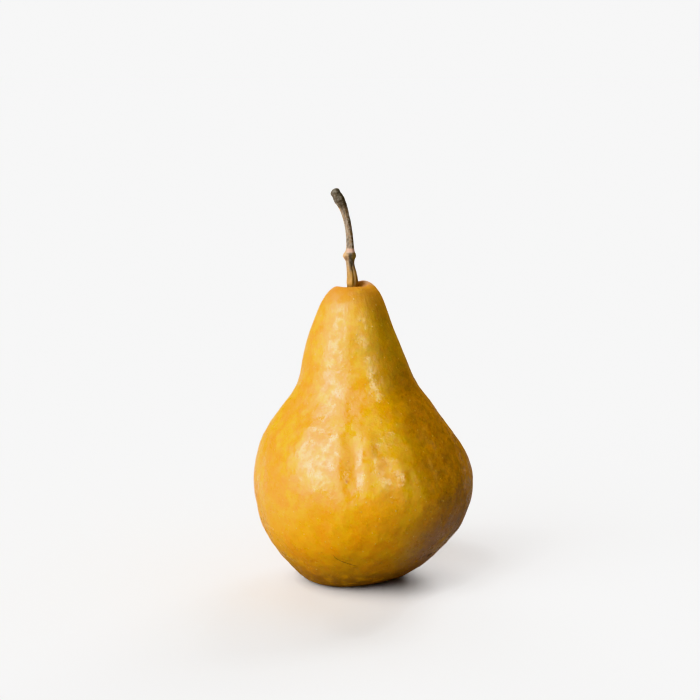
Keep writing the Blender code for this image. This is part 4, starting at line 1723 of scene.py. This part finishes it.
class PearStageSettings(bpy.types.PropertyGroup):
    floor_radius: length_property("Floor radius", "Radius of the level floor", 15.0)
    floor_colour: colour_property("Floor colour", "Colour that is seen", (0.98, 0.98, 0.98))
    floor_bounce: colour_property("Floor bounce", "Colour it throws back", (0.26, 0.25, 0.24))
    left_bounce: colour_property("Left bounce", "The same, on the left", (0.60, 0.57, 0.54))
    sky_brightness: strength_property("Sky brightness", "Brightness behind the floor", 1.38)
    air_colour: colour_property("Air colour", "Light from all round", (0.03, 0.03, 0.03))
    key_light: strength_property("Key light", "The large soft light at the front left", 2.5)
    upper_light: strength_property("Upper light", "The light above the key light", 0.95)
    fill_light: strength_property("Fill light", "The wide light in front", 0.75)
    rear_left_light: strength_property("Rear left light", "The light behind on the left", 1.3)
    rear_right_light: strength_property("Rear right light", "The light behind on the right", 2.5)
    key_shine: strength_property("Key shine", "The key light's shine on the wax", 3.8)
    upper_shine: strength_property("Upper shine", "The upper light's shine on the wax", 1.5)
    side_shine: strength_property("Side shine", "A shine on the right", 1.05)
    shine_colour: colour_property("Shine colour", "Colour of the shines", (0.78, 1.0, 0.87))


# Operators and the panel


class PEAR_OT_grow_skin(bpy.types.Operator):
    """Grow the fruit: flesh and skin in one, with the basin below and the socket on top"""

    bl_idname = "pear.grow_skin"
    bl_label = "Grow skin"

    def execute(self, context):
        grow_skin(context.scene.pear_skin)
        return {"FINISHED"}


class PEAR_OT_grow_lenticels(bpy.types.Operator):
    """Scatter the pale lenticels over the skin"""

    bl_idname = "pear.grow_lenticels"
    bl_label = "Grow lenticels"

    def execute(self, context):
        grow_lenticels(context.scene.pear_lenticels)
        return {"FINISHED"}


class PEAR_OT_grow_scars(bpy.types.Operator):
    """Lay the healed scars on the skin"""

    bl_idname = "pear.grow_scars"
    bl_label = "Grow scars"

    def execute(self, context):
        grow_scars(context.scene.pear_scars)
        return {"FINISHED"}


class PEAR_OT_grow_stem(bpy.types.Operator):
    """Grow the woody stem along its line"""

    bl_idname = "pear.grow_stem"
    bl_label = "Grow stem"

    def execute(self, context):
        grow_stem(context.scene.pear_stem)
        return {"FINISHED"}


class PEAR_OT_grow_calyx(bpy.types.Operator):
    """Grow the dried calyx in the basin underneath"""

    bl_idname = "pear.grow_calyx"
    bl_label = "Grow calyx"

    def execute(self, context):
        grow_calyx(context.scene.pear_calyx)
        return {"FINISHED"}


class PEAR_OT_set_stage(bpy.types.Operator):
    """Set the pale floor, the soft lights and the camera"""

    bl_idname = "pear.set_stage"
    bl_label = "Set stage"

    def execute(self, context):
        set_stage(context.scene.pear_stage)
        return {"FINISHED"}


SETTINGS = {
    "pear_skin": PearSkinSettings,
    "pear_lenticels": PearLenticelSettings,
    "pear_scars": PearScarSettings,
    "pear_stem": PearStemSettings,
    "pear_calyx": PearCalyxSettings,
    "pear_stage": PearStageSettings,
}
OPERATORS = {
    "pear_skin": PEAR_OT_grow_skin,
    "pear_lenticels": PEAR_OT_grow_lenticels,
    "pear_scars": PEAR_OT_grow_scars,
    "pear_stem": PEAR_OT_grow_stem,
    "pear_calyx": PEAR_OT_grow_calyx,
    "pear_stage": PEAR_OT_set_stage,
}


class PEAR_PT_panel(bpy.types.Panel):
    """Lists what each operator makes, with its settings"""

    bl_idname = "PEAR_PT_panel"
    bl_label = "Bosc pear"
    bl_space_type = "VIEW_3D"
    bl_region_type = "UI"
    bl_category = "Pear"

    def draw(self, context):
        for name, operator in OPERATORS.items():
            box = self.layout.box()
            box.operator(operator.bl_idname)
            settings = getattr(context.scene, name)
            for label in SETTINGS[name].__annotations__:
                box.prop(settings, label)


def register():
    for name, settings in SETTINGS.items():
        bpy.utils.register_class(settings)
        setattr(bpy.types.Scene, name, bpy.props.PointerProperty(type=settings))
    for operator in OPERATORS.values():
        bpy.utils.register_class(operator)
    bpy.utils.register_class(PEAR_PT_panel)


def unregister():
    bpy.utils.unregister_class(PEAR_PT_panel)
    for operator in reversed(OPERATORS.values()):
        bpy.utils.unregister_class(operator)
    for name, settings in reversed(SETTINGS.items()):
        delattr(bpy.types.Scene, name)
        bpy.utils.unregister_class(settings)


def main():
    register()
    bpy.ops.pear.set_stage()
    bpy.ops.pear.grow_skin()
    bpy.ops.pear.grow_lenticels()
    bpy.ops.pear.grow_scars()
    bpy.ops.pear.grow_stem()
    bpy.ops.pear.grow_calyx()


if __name__ == "__main__":
    main()
